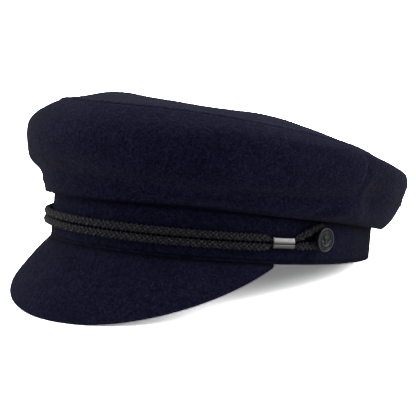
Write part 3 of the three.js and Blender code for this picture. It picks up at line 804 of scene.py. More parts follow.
class CAP_OT_band(bpy.types.Operator):
    """Builds the upright band of doubled cloth"""

    bl_idname = "cap.band"
    bl_label = "Band"

    @staticmethod
    def painted_shade(c, p):
        """How much painted shade darkens a place: in the hem's groove, at the lower edge and under the
        roll.
        """
        angle = math.atan2(p.y / c.band_length, p.x / c.band_width)
        roll = c.band_height + around_head(ROWS[0][1], angle) * c.crown_rise
        strength, at_groove, at_edge = HEM_SHADE
        hem = math.exp(-(((p.z - HEM_GROOVE[1]) / at_groove) ** 2)) + math.exp(-((p.z / at_edge) ** 2))
        begins, full = SHADE_UNDER_ROLL
        return max(strength * hem, smoothstep(1000 * p.z, roll - begins, roll - full))

    def execute(self, context):
        c = drawn()
        tall = c.band_height / 1000
        ring = {"vertices": BAND_COLUMNS, "radius": 1, "end_fill_type": "NOTHING"}
        add = bpy.ops.mesh.primitive_cylinder_add
        obj = started("band_cloth", add, depth=tall, location=(0, 0, tall / 2), **ring)
        bpy.ops.mesh.select_all(action="SELECT")
        bpy.ops.transform.resize(value=(c.band_width / 2000, c.band_length / 2000, 1))
        pick(obj, "EDGE", lambda m, e: abs(e.verts[0].co.z - e.verts[1].co.z) > 0.001)
        bpy.ops.mesh.subdivide(number_cuts=BAND_CUTS)
        half_width, back = c.band_width / 2000, c.band_length / 2000

        def at_back(middle, edge):
            upright = abs(edge.verts[0].co.x - edge.verts[1].co.x) < 1e-5
            return abs(middle.x) < 0.0001 and middle.y > 0.9 * back and upright

        pick(obj, "EDGE", at_back)
        bpy.ops.mesh.bevel(offset=BACK_SEAM, segments=2, profile=0.5)
        pick(obj, "EDGE", at_back)
        bpy.ops.transform.translate(value=(0, -BACK_SEAM, 0))
        for height in HEM_GROOVE:
            bpy.ops.mesh.select_all(action="SELECT")
            bpy.ops.mesh.bisect(plane_co=(0, 0, height), plane_no=(0, 0, 1))
        groove = HEM_GROOVE[1] - tall / 2
        pick(obj, "EDGE", lambda m, e: all(abs(v.co.z - groove) < 2e-5 for v in e.verts))
        bpy.ops.transform.resize(value=(1 - HEM_GROOVE_DEPTH / half_width, 1 - HEM_GROOVE_DEPTH / back, 1))
        into_place(obj, Matrix.Identity(4))
        uneven(obj, "Band unevenness", 0.022, 0.0008, 0.55)
        modify(obj, "SOLIDIFY", thickness=c.band_wall / 1000, offset=-1.0)
        bevelled(obj, 0.0009, 3, 60)
        # Painted shade in the hem's groove, along the band's lower edge and on the band under the roll
        marked(obj, "painted_shade", [self.painted_shade(c, v.co) for v in obj.data.vertices])
        into_place(obj)
        trimmed_at_floor(obj)
        smooth(obj, 50)
        dressed(obj, wool_material(), "wool", "band")
        return {"FINISHED"}


def peak_reach_at(c, s):
    """How far the peak reaches out, s being -1 and 1 at its tips."""
    return c.peak_reach * (1 - abs(s) ** PEAK_TAPER)


def peak_point(c, s, far):
    """Point of the peak's upper face: s from tip to tip, far out from the band."""
    angle = math.radians(-90 + PEAK_HALF_ANGLE * s)
    reach = peak_reach_at(c, s)
    drop = math.radians(PEAK_DROP_MIDDLE + (PEAK_DROP_END - PEAK_DROP_MIDDLE) * s * s)
    ahead = oval_normal(c, angle) * (1 - PEAK_STRAIGHTNESS) + Vector((0, -PEAK_STRAIGHTNESS, 0))
    ahead.normalize()
    share = far / reach
    bow = PEAK_BOW * reach / c.peak_reach
    lift = 4 * bow * share * (1 - share) if share > 0 else 0.0
    out = far * math.cos(drop) + lift * math.sin(drop)
    z = -GAP - far * math.sin(drop) + lift * math.cos(drop)
    if share < 0:
        gap, run = PEAK_TUCK
        out, z = far, -GAP + (GAP - gap) * min(1.0, -far / run)
    foot = on_oval(c, angle, 0, 0)
    return Vector((foot.x + ahead.x * out, foot.y + ahead.y * out, z))


class CAP_OT_peak(bpy.types.Operator):
    """Builds the stiff peak under its cloth cover"""

    bl_idname = "cap.peak"
    bl_label = "Peak"

    def execute(self, context):
        c = drawn()
        columns, rows = PEAK_GRID
        add = bpy.ops.mesh.primitive_grid_add
        obj = started("peak_cloth", add, x_subdivisions=columns, y_subdivisions=rows, size=2)
        bpy.ops.object.mode_set(mode="OBJECT")
        root = []
        for v in obj.data.vertices:
            s = PEAK_LAST * math.sin(max(-1.0, min(1.0, v.co.x)) * math.pi / 2)
            down = (1 - v.co.y) / 2
            far = PEAK_ROOT * (down / PEAK_ROOT_SHARE - 1)
            if down >= PEAK_ROOT_SHARE:
                far = peak_reach_at(c, s) * (down - PEAK_ROOT_SHARE) / (1 - PEAK_ROOT_SHARE)
            # Painted shade on the root, where it tucks under the band
            root.append(PEAK_ROOT_SHADE[0] * math.exp(-((far / PEAK_ROOT_SHADE[1]) ** 2)))
            v.co = peak_point(c, s, far) / 1000
        marked(obj, "painted_shade", root)
        obj.data.update()
        faced_out(obj, lambda face: face.normal.z)
        uneven(obj, "Peak unevenness", 0.03, 0.0005, 0.5)
        modify(obj, "SOLIDIFY", thickness=c.peak_thickness / 1000, offset=-1.0)
        bevelled(obj, 0.001, 4, 60)
        into_place(obj)
        trimmed_at_floor(obj)
        smooth(obj, 50)
        dressed(obj, wool_material(), "wool", "peak")
        return {"FINISHED"}


# Chin cord, ferrules and buttons


class Round:
    """Distances along the band's outer face, from the front middle round to the back."""

    def __init__(self, c):
        self.c = c
        self.angles = [math.pi * (k / 720 - 0.5) for k in range(721)]
        self.walked = [0.0]
        points = [on_oval(c, a, c.cord_diameter / 2, 0) for a in self.angles]
        for a, b in zip(points, points[1:]):
            self.walked.append(self.walked[-1] + (b - a).length)
        self.button = self.distance(math.radians(BUTTON_ANGLE))
        self.ferrule = self.button - FERRULE_TO_BUTTON
        self.start = self.ferrule - c.ferrule_length / 2
        self.end = self.ferrule + c.ferrule_length / 2
        self.half = CORD_SQUEEZED / 2 + 2 * GAP / 3 + CORD_ROOM
        self.bore = CORD_SQUEEZED / 2 + GAP
        self.depth = GAP + self.bore + FERRULE_WALL

    def angle(self, distance):
        return float(np.interp(distance, self.walked, self.angles))

    def distance(self, angle):
        return float(np.interp(angle, self.angles, self.walked))


def cord_route(c):
    """The cord's closed middle line: for each point its place, the outward normal and the radius."""
    way = Round(c)
    d = c.cord_diameter
    quarter = []

    def add(distance, half, thick, rise):
        out = way.depth if thick <= CORD_SQUEEZED * 1.01 else GAP + thick / 2
        quarter.append((distance, half, out, thick, rise))

    past, half = CORD_BEFORE_FERRULE[0][:2]
    for k in range(20):
        add((way.start + past) * k / 20, half * d, d, 0)
    for past, half, thick, rise in CORD_BEFORE_FERRULE:
        add(way.start + past, half * d, thick * d, rise * d)
    for k in range(4):
        into = (c.ferrule_length + 2 * CORD_NARROW) * k / 3
        add(way.start - CORD_NARROW + into, way.half, CORD_SQUEEZED, 0)
    for past, half, thick, rise in CORD_AFTER_FERRULE:
        add(way.end + past, half * d, thick * d, rise * d)
    across = SHANK_RADIUS + 2 * GAP + CORD_ROOM + d / 2
    for turn in (90, 67.5, 45, 22.5, 0):
        a = math.radians(turn)
        add(way.button + across * math.cos(a), CORD_LOOP_HALF * d * math.sin(a), d, CORD_LOOP_RISE * d)

    def place(step, above, side):
        distance, half, out, thick, rise = step
        sag = 1 - smoothstep(distance, 0, way.start - d)
        height = c.cord_height - CORD_SAG * sag + rise + above * half
        angle = way.angle(distance)
        p = on_oval(c, angle, out, height)
        n = oval_normal(c, angle)
        return (side * p.x, p.y, p.z, side * n.x, n.y, n.z, thick / 2)

    inner, front, far = quarter[1:-1], quarter[0], quarter[-1]
    path = [place(front, 1, 1)] + [place(s, 1, 1) for s in inner] + [place(far, 0, 1)]
    path += [place(s, -1, 1) for s in inner[::-1]] + [place(front, -1, 1)]
    path += [place(s, -1, -1) for s in inner] + [place(far, 0, -1)] + [place(s, 1, -1) for s in inner[::-1]]
    return np.array(path)


def closed_curve(path, step):
    """The route as evenly spaced samples of the smooth closed curve through its points."""
    n = len(path)
    fine = []
    for i in range(n):
        four = [path[(i + k) % n] for k in (-1, 0, 1, 2)]
        fine += [spline(*four, w) for w in np.linspace(0, 1, 12, endpoint=False)]
    fine = np.array(fine + [fine[0]])
    walked = np.concatenate([[0], np.cumsum(np.linalg.norm(np.diff(fine[:, :3], axis=0), axis=1))])
    count = int(round(walked[-1] / step))
    at = np.linspace(0, walked[-1], count, endpoint=False)
    samples = np.array([np.interp(at, walked, fine[:, k]) for k in range(fine.shape[1])]).T
    return at, samples, walked[-1]


def unit(v):
    """Rows of vectors, each made one long."""
    return v / np.linalg.norm(v, axis=1, keepdims=True)


def tube(centre, first, second, radius, sides):
    """Points and faces of a closed tube round a centre line."""
    n = len(centre)
    turns = np.arange(sides) * 2 * math.pi / sides
    ring = first[:, None] * np.cos(turns)[None, :, None] + second[:, None] * np.sin(turns)[None, :, None]
    points = (centre[:, None] + ring * np.asarray(radius)[:, None, None]).reshape(-1, 3)
    i = np.repeat(np.arange(n), sides)
    j = np.tile(np.arange(sides), n)
    nexti, nextj = (i + 1) % n, (j + 1) % sides
    faces = np.stack([i * sides + j, i * sides + nextj, nexti * sides + nextj, nexti * sides + j], axis=1)
    return points, faces


class CAP_OT_cord(bpy.types.Operator):
    """Braids the chin cord: eight strands, four each way, over and under one another"""

    bl_idname = "cap.cord"
    bl_label = "Chin cord"

    def execute(self, context):
        c = drawn()
        at, samples, total = closed_curve(cord_route(c), BRAID_STEP)
        centre, outward, radius = samples[:, :3], samples[:, 3:6], samples[:, 6]
        size = radius / (c.cord_diameter / 2)
        ahead = unit(np.roll(centre, -1, axis=0) - np.roll(centre, 1, axis=0))
        across = unit(outward - ahead * (outward * ahead).sum(1, keepdims=True))
        up = np.cross(ahead, across)
        turns = round(total / BRAID_LEAD)
        phase = 2 * math.pi * turns * at / total
        points, faces, along, deep = [], [], [], []
        start = 0

        def add(parts, u, under):
            nonlocal start
            p, f = parts
            points.append(p)
            faces.append(f + start)
            along.append(np.repeat(u, len(p) // len(u)))
            deep.append(np.repeat(under, len(p) // len(u)))
            start += len(p)

        add(tube(centre, across, up, CORE_RADIUS * size, STRAND_SIDES), at, np.ones(len(at)))
        for sign in (1, -1):
            for carrier in range(4):
                turn = sign * phase + carrier * math.pi / 2
                weave = sign * np.cos(4 * phase + carrier * math.pi)
                away = (STRAND_REACH + STRAND_WEAVE * weave) * size
                radial = across * np.cos(turn)[:, None] + up * np.sin(turn)[:, None]
                line = centre + radial * away[:, None]
                heading = unit(np.roll(line, -1, axis=0) - np.roll(line, 1, axis=0))
                aside = unit(np.cross(heading, radial))
                strand = tube(line, radial, aside, STRAND_RADIUS * size, STRAND_SIDES)
                # Each strand carries the painted shade where it dips under another
                add(strand, at + 3 * carrier + sign, np.clip(0.5 - STRAND_SHADE * weave, 0, 1))
        points = np.concatenate(points)
        faces = np.concatenate(faces)
        obj = piece_from("chin_cord_braid", points.tolist(), faces.tolist())
        core = np.arange(len(points)) < len(at) * STRAND_SIDES
        masks = {"along": np.concatenate(along), "deep": np.concatenate(deep), "core": core}
        for name, values in masks.items():
            marked(obj, name, values.astype(np.float32))
        smooth(obj, 180)
        dressed(obj, cord_material(), "cord", "chin_cord")
        return {"FINISHED"}


class CAP_OT_ferrules(bpy.types.Operator):
    """Builds the two crimped ferrules round both runs of the cord"""

    bl_idname = "cap.ferrules"
    bl_label = "Ferrules"

    def execute(self, context):
        c = drawn()
        way = Round(c)
        metal = ferrule_material()
        radius = way.bore + FERRULE_WALL
        section = [Vector(p) for p in FERRULE_FACE]
        steps = FERRULE_STEPS
        add = bpy.ops.mesh.primitive_circle_add
        for side, name in ((1, "left"), (-1, "right")):
            obj = started(f"ferrule_{name}_metal", add, vertices=96, radius=1, fill_type="NOTHING")
            bpy.ops.mesh.select_all(action="SELECT")
            for _ in range(steps):
                bpy.ops.mesh.extrude_region_move(TRANSFORM_OT_translate={"value": (0, 0, 1)})
            bpy.ops.object.mode_set(mode="OBJECT")
            for v in obj.data.vertices:
                share = v.co.z / steps
                up = (way.half + radius) * v.co.y
                out = -math.sqrt(max(0.0, radius**2 - max(0.0, abs(up) - way.half) ** 2))
                if abs(v.co.x) < 1e-4:
                    out = 0.0
                elif v.co.x > 0:
                    turn = math.acos(max(-1.0, min(1.0, v.co.y))) / math.pi
                    out, up = along_curve(section, turn * (len(section) - 1))
                nip = 1 - FERRULE_NIP * math.sin(math.pi * share) ** 0.5
                distance = way.start + c.ferrule_length * share
                p = on_oval(c, way.angle(distance), way.depth + out * nip, c.cord_height + up * nip)
                v.co = Vector((side * p.x, p.y, p.z)) / 1000
            obj.data.update()
            middle = sum((v.co for v in obj.data.vertices), Vector()) / len(obj.data.vertices)
            faced_out(obj, lambda face: (face.center - middle).dot(face.normal))
            modify(obj, "SOLIDIFY", thickness=FERRULE_WALL / 1000, offset=-1.0)
            bevelled(obj, 0.00018, 3, 50)
            # Darker in the groove, and painted shade on the lower lobe
            groove_and_low_shade = []
            for v in obj.data.vertices:
                up = 1000 * v.co.z - c.cord_height
                groove = math.exp(-(((up - FERRULE_GROOVE) / GROOVE_DARKENING) ** 2))
                groove_and_low_shade.append(max(groove, LOW_PAINTED_SHADE[0] * smoothstep(-up, *LOW_PAINTED_SHADE[1:])))
            marked(obj, "groove_and_low_shade", groove_and_low_shade)
            into_place(obj)
            smooth(obj, 40)
            dressed(obj, metal, "ferrule", "ferrule_" + name)
        return {"FINISHED"}


def anchor_strokes():
    """An anchor with its rope: strokes from and to, half width, all shares of the radius, and height."""
    strokes = [((0, -0.48), (0, 0.34), 0.085, 1.6), ((-0.27, 0.22), (0.27, 0.22), 0.07, 1.5)]
    turns = [math.radians(200 + 14 * k) for k in range(11)]
    arms = [(0.46 * math.cos(a), -0.05 + 0.46 * math.sin(a)) for a in turns]
    for k, (start, end) in enumerate(zip(arms, arms[1:])):
        strokes.append((start, end, 0.07 + 0.03 * math.sin(math.pi * (k + 0.5) / 10), 1.5))
    for side in (-1, 1):
        for across, up in ((0.57, 0.0), (0.26, -0.10)):
            strokes.append(((side * 0.44, -0.18), (side * across, up), 0.07, 1.4))
    sway = [0.17 * math.sin(5.2 * k / 12 + 0.6) * (1.4 - k / 12) for k in range(13)]
    rope = [(x, -0.46 + 0.82 * k / 12) for k, x in enumerate(sway)]
    return strokes + [(start, end, 0.05, 2.4) for start, end in zip(rope, rope[1:])]


def button_mesh(c):
    """One button, drawn with its axis up: dished disc with a raised rim, an anchor in relief, a shank."""
    r = c.button_diameter / 2000
    back = (c.cord_diameter + GAP) / 1000
    thick = BUTTON_THICKNESS / 1000
    middle, top, low = back + thick / 2, back + thick, back
    cylinder = bpy.ops.mesh.primitive_cylinder_add
    disc = started("button_disc", cylinder, vertices=72, radius=r, depth=thick, location=(0, 0, middle))

    def flat(z, sign):
        return lambda m, f: f.normal.z * sign > 0.9 and abs(m.z + middle - z) < 1e-5

    pick(disc, "FACE", flat(top, 1))
    for share, move in BUTTON_INSETS:
        bpy.ops.mesh.inset(thickness=share * r)
        if move:
            bpy.ops.transform.translate(value=(0, 0, move))
    pick(disc, "FACE", flat(low, -1))
    bpy.ops.mesh.inset(thickness=0.12 * r)
    bpy.ops.object.mode_set(mode="OBJECT")
    into_place(disc, Matrix.Identity(4))
    bevelled(disc, 0.00035, 3, 28)
    parts = [disc]
    field = top - 0.00062

    def kept(obj, matrix=Matrix.Identity(4)):
        into_place(obj, matrix)
        parts.append(obj)
        return obj

    for start, end, swell, tall in anchor_strokes():
        start, end = Vector((*start, 0)) * r, Vector((*end, 0)) * r
        run, half_way = end - start, (start + end) / 2
        turn = Matrix.Rotation(math.atan2(run.y, run.x), 4, "Z") @ Matrix.Rotation(math.pi / 2, 4, "Y")
        place = Matrix.Translation((half_way.x, half_way.y, field)) @ Matrix.Diagonal((1, 1, tall, 1))
        rod = started("button_relief", cylinder, vertices=12, radius=swell * r, depth=run.length)
        stroke = kept(rod, place @ turn)
        bevelled(stroke, 0.00012, 2, 50)
    ring = {"major_segments": 24, "minor_segments": 8, "major_radius": 0.11 * r, "minor_radius": 0.04 * r}
    kept(started("button_relief", bpy.ops.mesh.primitive_torus_add, location=(0, 0.48 * r, field), **ring))
    ball = {"subdivisions": 2, "radius": 0.055 * r, "location": (0.74 * r, 0, field + 0.0001)}
    bead = kept(started("button_relief", bpy.ops.mesh.primitive_ico_sphere_add, **ball))
    for k in range(1, BUTTON_BEADS):
        other = bpy.data.objects.new("button_relief", bead.data.copy())
        bpy.context.scene.collection.objects.link(other)
        other.data.transform(Matrix.Rotation(2 * math.pi * k / BUTTON_BEADS, 4, "Z"))
        parts.append(other)
    post = {"radius": SHANK_RADIUS / 1000, "depth": back + 0.0006, "location": (0, 0, back / 2 + 0.0003)}
    shank = started("button_shank", cylinder, vertices=40, **post)
    pick(shank, "FACE", lambda m, f: f.normal.z < -0.9)
    bpy.ops.mesh.inset(thickness=0.0004)
    kept(shank)
    bpy.ops.object.select_all(action="DESELECT")
    for part in parts:
        part.select_set(True)
    bpy.context.view_layer.objects.active = disc
    bpy.ops.object.join()
    # The rim and the relief are made lighter: rubbed metal with a painted highlight
    raised = []
    for v in disc.data.vertices:
        rim = 0.5 * smoothstep(v.co.z, top - 0.0003, top - 0.00005)
        relief = smoothstep(v.co.z, field + 0.0001, field + 0.0004) if v.co.xy.length < 0.82 * r else 0.0
        raised.append(max(rim, relief))
    return marked(disc, "raised", raised)


class CAP_OT_buttons(bpy.types.Operator):
    """Builds the two buttons that the cord loops round"""

    bl_idname = "cap.buttons"
    bl_label = "Buttons"

    def execute(self, context):
        c = drawn()
        material = button_material()
        model = button_mesh(c)
        angle = math.radians(BUTTON_ANGLE)
        for side, name in ((1, "left"), (-1, "right")):
            obj = bpy.data.objects.new("button_" + name + "_metal", model.data.copy())
            context.scene.collection.objects.link(obj)
            normal = Matrix.Rotation(math.radians(BUTTON_TURN), 3, "Z") @ oval_normal(c, angle)
            origin = on_oval(c, angle, GAP, c.button_height)
            normal.x *= side
            origin.x *= side
            up = Vector((0, 0, 1))
            across = up.cross(normal)
            axes = Matrix((across, up, normal)).transposed().to_4x4()
            into_place(obj, PLACE @ Matrix.Translation(origin / 1000) @ axes)
            smooth(obj, 35)
            dressed(obj, material, "button", "button_" + name)
        bpy.data.objects.remove(model)
        return {"FINISHED"}


# Materials


def new_group(name, inputs, outputs):
    """A shader node group with its named sockets, ready for its nodes."""
    tree = bpy.data.node_groups.new(name, "ShaderNodeTree")
    for label, kind, default in inputs:
        socket = tree.interface.new_socket(label, in_out="INPUT", socket_type=kind)
        socket.default_value = default
    for label, kind in outputs:
        tree.interface.new_socket(label, in_out="OUTPUT", socket_type=kind)
    return tree, tree.nodes.new("NodeGroupInput"), tree.nodes.new("NodeGroupOutput")


def add_node(tree, kind, links=(), **settings):
    """Adds a node, sets its properties and input values, and links what is given by input name."""
    node = tree.nodes.new("ShaderNode" + kind)
    for name, value in settings.items():
        if name in node.bl_rna.properties:
            setattr(node, name, value)
        else:
            node.inputs[name.replace("_", " ")].default_value = value
    for target, source in dict(links).items():
        tree.links.new(source, node.inputs[target])
    return node


def maths(tree, operation, a, b=None, clamp=False):
    """A Math node on sockets or numbers, and its result."""
    node = tree.nodes.new("ShaderNodeMath")
    node.operation = operation
    node.use_clamp = clamp
    for k, value in enumerate((a, b)):
        if isinstance(value, (int, float)):
            node.inputs[k].default_value = value
        elif value is not None:
            tree.links.new(value, node.inputs[k])
    return node.outputs[0]


def noise_at(tree, vector, scale, detail=2.0, roughness=0.5, distortion=0.0):
    """A noise texture's value on a vector."""
    settings = {"Scale": scale, "Detail": detail, "Roughness": roughness, "Distortion": distortion}
    return add_node(tree, "TexNoise", {"Vector": vector}, **settings).outputs["Fac"]


def weighed(tree, *terms):
    """Sockets added up, each times its weight."""
    parts = [maths(tree, "MULTIPLY", socket, weight) for socket, weight in terms]
    total = parts[0]
    for part in parts[1:]:
        total = maths(tree, "ADD", total, part)
    return total


def between(tree, value, low, high, to_low=0.0, to_high=1.0):
    """Maps a range of a value onto another, clamped and smooth."""
    ends = {"From Min": low, "From Max": high, "To Min": to_low, "To Max": to_high}
    node = add_node(tree, "MapRange", {"Value": value}, interpolation_type="SMOOTHSTEP", **ends)
    return node.outputs["Result"]


def group_node(tree, group, **values):
    """Outputs of a node group placed in a material with its own values."""
    return add_node(tree, "Group", node_tree=group, **values).outputs


def mask(tree, name):
    """A mask that the piece's points carry."""
    return add_node(tree, "Attribute", attribute_name=name).outputs["Fac"]


def shade_of(base, share):
    """A colour made lighter or darker."""
    return tuple(share * v for v in base)


def finished(tree, shader, base, roughness, height, relief, **uniform):
    """Links colour, roughness and relief to the shader, and sets what is the same all over."""
    tree.links.new(base, shader.inputs["Base Color"])
    tree.links.new(roughness, shader.inputs["Roughness"])
    strength, distance = relief
    bump = add_node(tree, "Bump", {"Height": height}, Strength=strength, Distance=distance)
    tree.links.new(bump.outputs["Normal"], shader.inputs["Normal"])
    for name, value in uniform.items():
        shader.inputs[name.replace("_", " ")].default_value = value


def felt_group():
    """Nap of milled wool: a shade of the nap, a mask of pale lint and the height of the fibres."""
    tree, inp, out = new_group(
        "Felt nap",
        [("Fineness", "NodeSocketFloat", 1.0), ("Lint", "NodeSocketFloat", 1.0)],
        [("Shade", "NodeSocketFloat"), ("Lint", "NodeSocketFloat"), ("Height", "NodeSocketFloat")],
    )
    place = add_node(tree, "TexCoord").outputs["Object"]
    fine = inp.outputs["Fineness"]
    scaled = add_node(tree, "VectorMath", {0: place, 1: fine}, operation="MULTIPLY").outputs[0]
    cloud = noise_at(tree, scaled, 38.0, 3.0)
    mottle = noise_at(tree, scaled, 240.0, 3.0, 0.6)
    fibre = noise_at(tree, scaled, 720.0, 4.0, 0.72, 1.2)
    speck = noise_at(tree, scaled, 900.0, 1.0, 0.5, 2.0)
    shade = weighed(tree, (cloud, 0.4), (mottle, 0.4), (fibre, 3.6))
    shade = maths(tree, "SUBTRACT", shade, 1.95, clamp=True)
    for turn, share in (((0.4, 0.9, 0.2), 0.4), ((1.3, -0.5, 1.1), 0.4), ((-0.7, 0.3, 2.0), 0.35)):
        lying = add_node(tree, "Mapping", {"Vector": scaled}, Rotation=turn, Scale=(1.0, 1.0, 0.3))
        hair = between(tree, noise_at(tree, lying.outputs[0], 1250.0, 2.0, 0.6, 1.2), 0.60, 0.70)
        shade = maths(tree, "ADD", shade, maths(tree, "MULTIPLY", hair, share), clamp=True)
    lint = maths(tree, "MULTIPLY", between(tree, speck, 0.77, 0.83), inp.outputs["Lint"], clamp=True)
    height = weighed(tree, (fibre, 0.7), (mottle, 0.9))
    for name, socket in (("Shade", shade), ("Lint", lint), ("Height", height)):
        tree.links.new(socket, out.inputs[name])
    return tree


def new_material(name):
    """A node material with an empty tree but its shader and output."""
    material = bpy.data.materials.new(name)
    material.use_nodes = True
    tree = material.node_tree
    tree.nodes.clear()
    shader = add_node(tree, "BsdfPrincipled")
    add_node(tree, "OutputMaterial", {"Surface": shader.outputs[0]})
    return material, tree, shader


def mixed(tree, factor, a, b):
    """A colour between two, each a socket or a colour."""
    node = tree.nodes.new("ShaderNodeMix")
    node.data_type = "RGBA"
    tree.links.new(factor, node.inputs["Factor"])
    for name, value in (("A", a), ("B", b)):
        socket = [s for s in node.inputs if s.name == name and s.type == "RGBA"][0]
        if hasattr(value, "links"):
            tree.links.new(value, socket)
        else:
            socket.default_value = (*value, 1.0)
    return [s for s in node.outputs if s.type == "RGBA"][0]


def wool_material():
    """Navy melton: dark, matt, with a soft nap, pale lint and a faint sheen."""
    if "Navy melton" in bpy.data.materials:
        return bpy.data.materials["Navy melton"]
    colours = bpy.context.scene.cap_colours
    material, tree, shader = new_material("Navy melton")
    felt = group_node(tree, felt_group(), Fineness=1.0, Lint=0.8)
    base = mixed(tree, felt["Shade"], tuple(colours.wool), tuple(colours.wool_light))
    base = mixed(tree, felt["Lint"], base, LINT)
    # Rubbed nap with a painted highlight: paler along the side seams and the top's rim ridge
    rubbed_and_highlight = maths(tree, "MULTIPLY", mask(tree, "wear_and_highlight"), between(tree, felt["Shade"], 0.0, 0.8, 0.3, 1.0))
    base = mixed(tree, rubbed_and_highlight, base, WORN_NAP_AND_HIGHLIGHT)
    # Painted shade: darker along the roll's edge, under the roll, in the band's hem and at the peak's root
    base = mixed(tree, mask(tree, "painted_shade"), base, shade_of(colours.wool, 0.5))
    roughness = between(tree, felt["Shade"], 0.0, 1.0, 0.98, 0.82)
    finished(
        tree,
        shader,
        base,
        roughness,
        felt["Height"],
        (0.8, 0.0006),
        Specular_IOR_Level=0.02,
        Sheen_Weight=0.04,
        Sheen_Roughness=0.45,
        Sheen_Tint=(0.86, 0.86, 0.95, 1.0),
    )
    return material


def cord_material():
    """Black braid yarn: fine twist along each ply, a little shine on the crowns."""
    colours = bpy.context.scene.cap_colours
    material, tree, shader = new_material("Black braid")
    place = add_node(tree, "TexCoord").outputs["Object"]
    fibre = noise_at(tree, place, 1500.0, 3.0, 0.7, 1.0)
    twist = maths(tree, "SINE", weighed(tree, (mask(tree, "along"), 9.0), (fibre, 5.0)))
    strand = between(tree, weighed(tree, (twist, 0.3), (fibre, 1.0)), 0.2, 1.0)
    base = mixed(tree, strand, tuple(colours.cord), shade_of(colours.cord, 9.0))
    # The core is painted near black: painted shade in the gaps between the strands
    base = mixed(tree, mask(tree, "core"), base, shade_of(colours.cord, 0.1))
    # Painted shade where a strand dips under another
    base = mixed(tree, mask(tree, "deep"), base, shade_of(colours.cord, 0.12))
    roughness = between(tree, strand, 0.0, 1.0, 0.5, 0.3)
    finished(tree, shader, base, roughness, strand, (0.6, 0.00015), Specular_IOR_Level=0.3)
    return material


def scratches_group():
    """Fine scratches and a faint haze for metal: a mask of marks and their height."""
    name = "Metal marks"
    if name in bpy.data.node_groups:
        return bpy.data.node_groups[name]
    outputs = [("Marks", "NodeSocketFloat"), ("Haze", "NodeSocketFloat")]
    tree, inp, out = new_group(name, [("Scale", "NodeSocketFloat", 400.0)], outputs)
    place = add_node(tree, "TexCoord").outputs["Object"]
    lying = add_node(tree, "Mapping", {"Vector": place}, Scale=(1.0, 0.12, 1.0), Rotation=(0.5, 0.3, 0.9))
    linked = {"Vector": lying.outputs[0], "Scale": inp.outputs["Scale"]}
    marks = add_node(tree, "TexNoise", linked, Detail=3.0, Roughness=0.7)
    haze = noise_at(tree, place, 160.0, 3.0, 0.6)
    tree.links.new(between(tree, marks.outputs["Fac"], 0.45, 0.75), out.inputs["Marks"])
    tree.links.new(haze, out.inputs["Haze"])
    return tree


def ferrule_material():
    """Satin nickel: clean and bright with fine handling marks, darker in its groove, with painted shade on
    its lower lobe.
    """
    colours = bpy.context.scene.cap_colours
    material, tree, shader = new_material("Satin nickel")
    metal = group_node(tree, scratches_group(), Scale=700.0)
    base = mixed(tree, metal["Haze"], shade_of(colours.ferrule, 0.86), tuple(colours.ferrule))
    # Darker in the groove, and painted shade on the lower lobe
    base = mixed(tree, mask(tree, "groove_and_low_shade"), base, shade_of(colours.ferrule, 0.12))
    roughness = between(tree, metal["Marks"], 0.0, 1.0, 0.36, 0.5)
    finished(tree, shader, base, roughness, metal["Marks"], (0.12, 0.00005), Metallic=1.0)
    return material


def button_material():
    """Dark metal, lighter on the rim and the relief: rubbed metal with a painted highlight."""
    colours = bpy.context.scene.cap_colours
    material, tree, shader = new_material("Dark button metal")
    metal = group_node(tree, scratches_group(), Scale=500.0)
    uneven_wear = between(tree, metal["Haze"], 0.25, 0.6, 0.5, 1.0)
    rubbed_and_highlight = maths(tree, "MULTIPLY", mask(tree, "raised"), uneven_wear)
    base = mixed(tree, rubbed_and_highlight, shade_of(colours.button, 0.45), shade_of(colours.button, 3.6))
    roughness = between(tree, metal["Marks"], 0.0, 1.0, 0.3, 0.45)
    finished(tree, shader, base, roughness, metal["Marks"], (0.15, 0.00006), Metallic=0.7)
    return material


# Stage


def area_light(name, place, target, width, height, power):
    """A soft area light at a place, turned to its target."""
    lamp = bpy.data.lights.new(name, "AREA")
    lamp.shape = "RECTANGLE"
    lamp.size, lamp.size_y, lamp.energy = width, height, power
    obj = bpy.data.objects.new(name, lamp)
    bpy.context.scene.collection.objects.link(obj)
    obj.location = place
    obj.rotation_euler = (Vector(target) - Vector(place)).to_track_quat("-Z", "Y").to_euler()


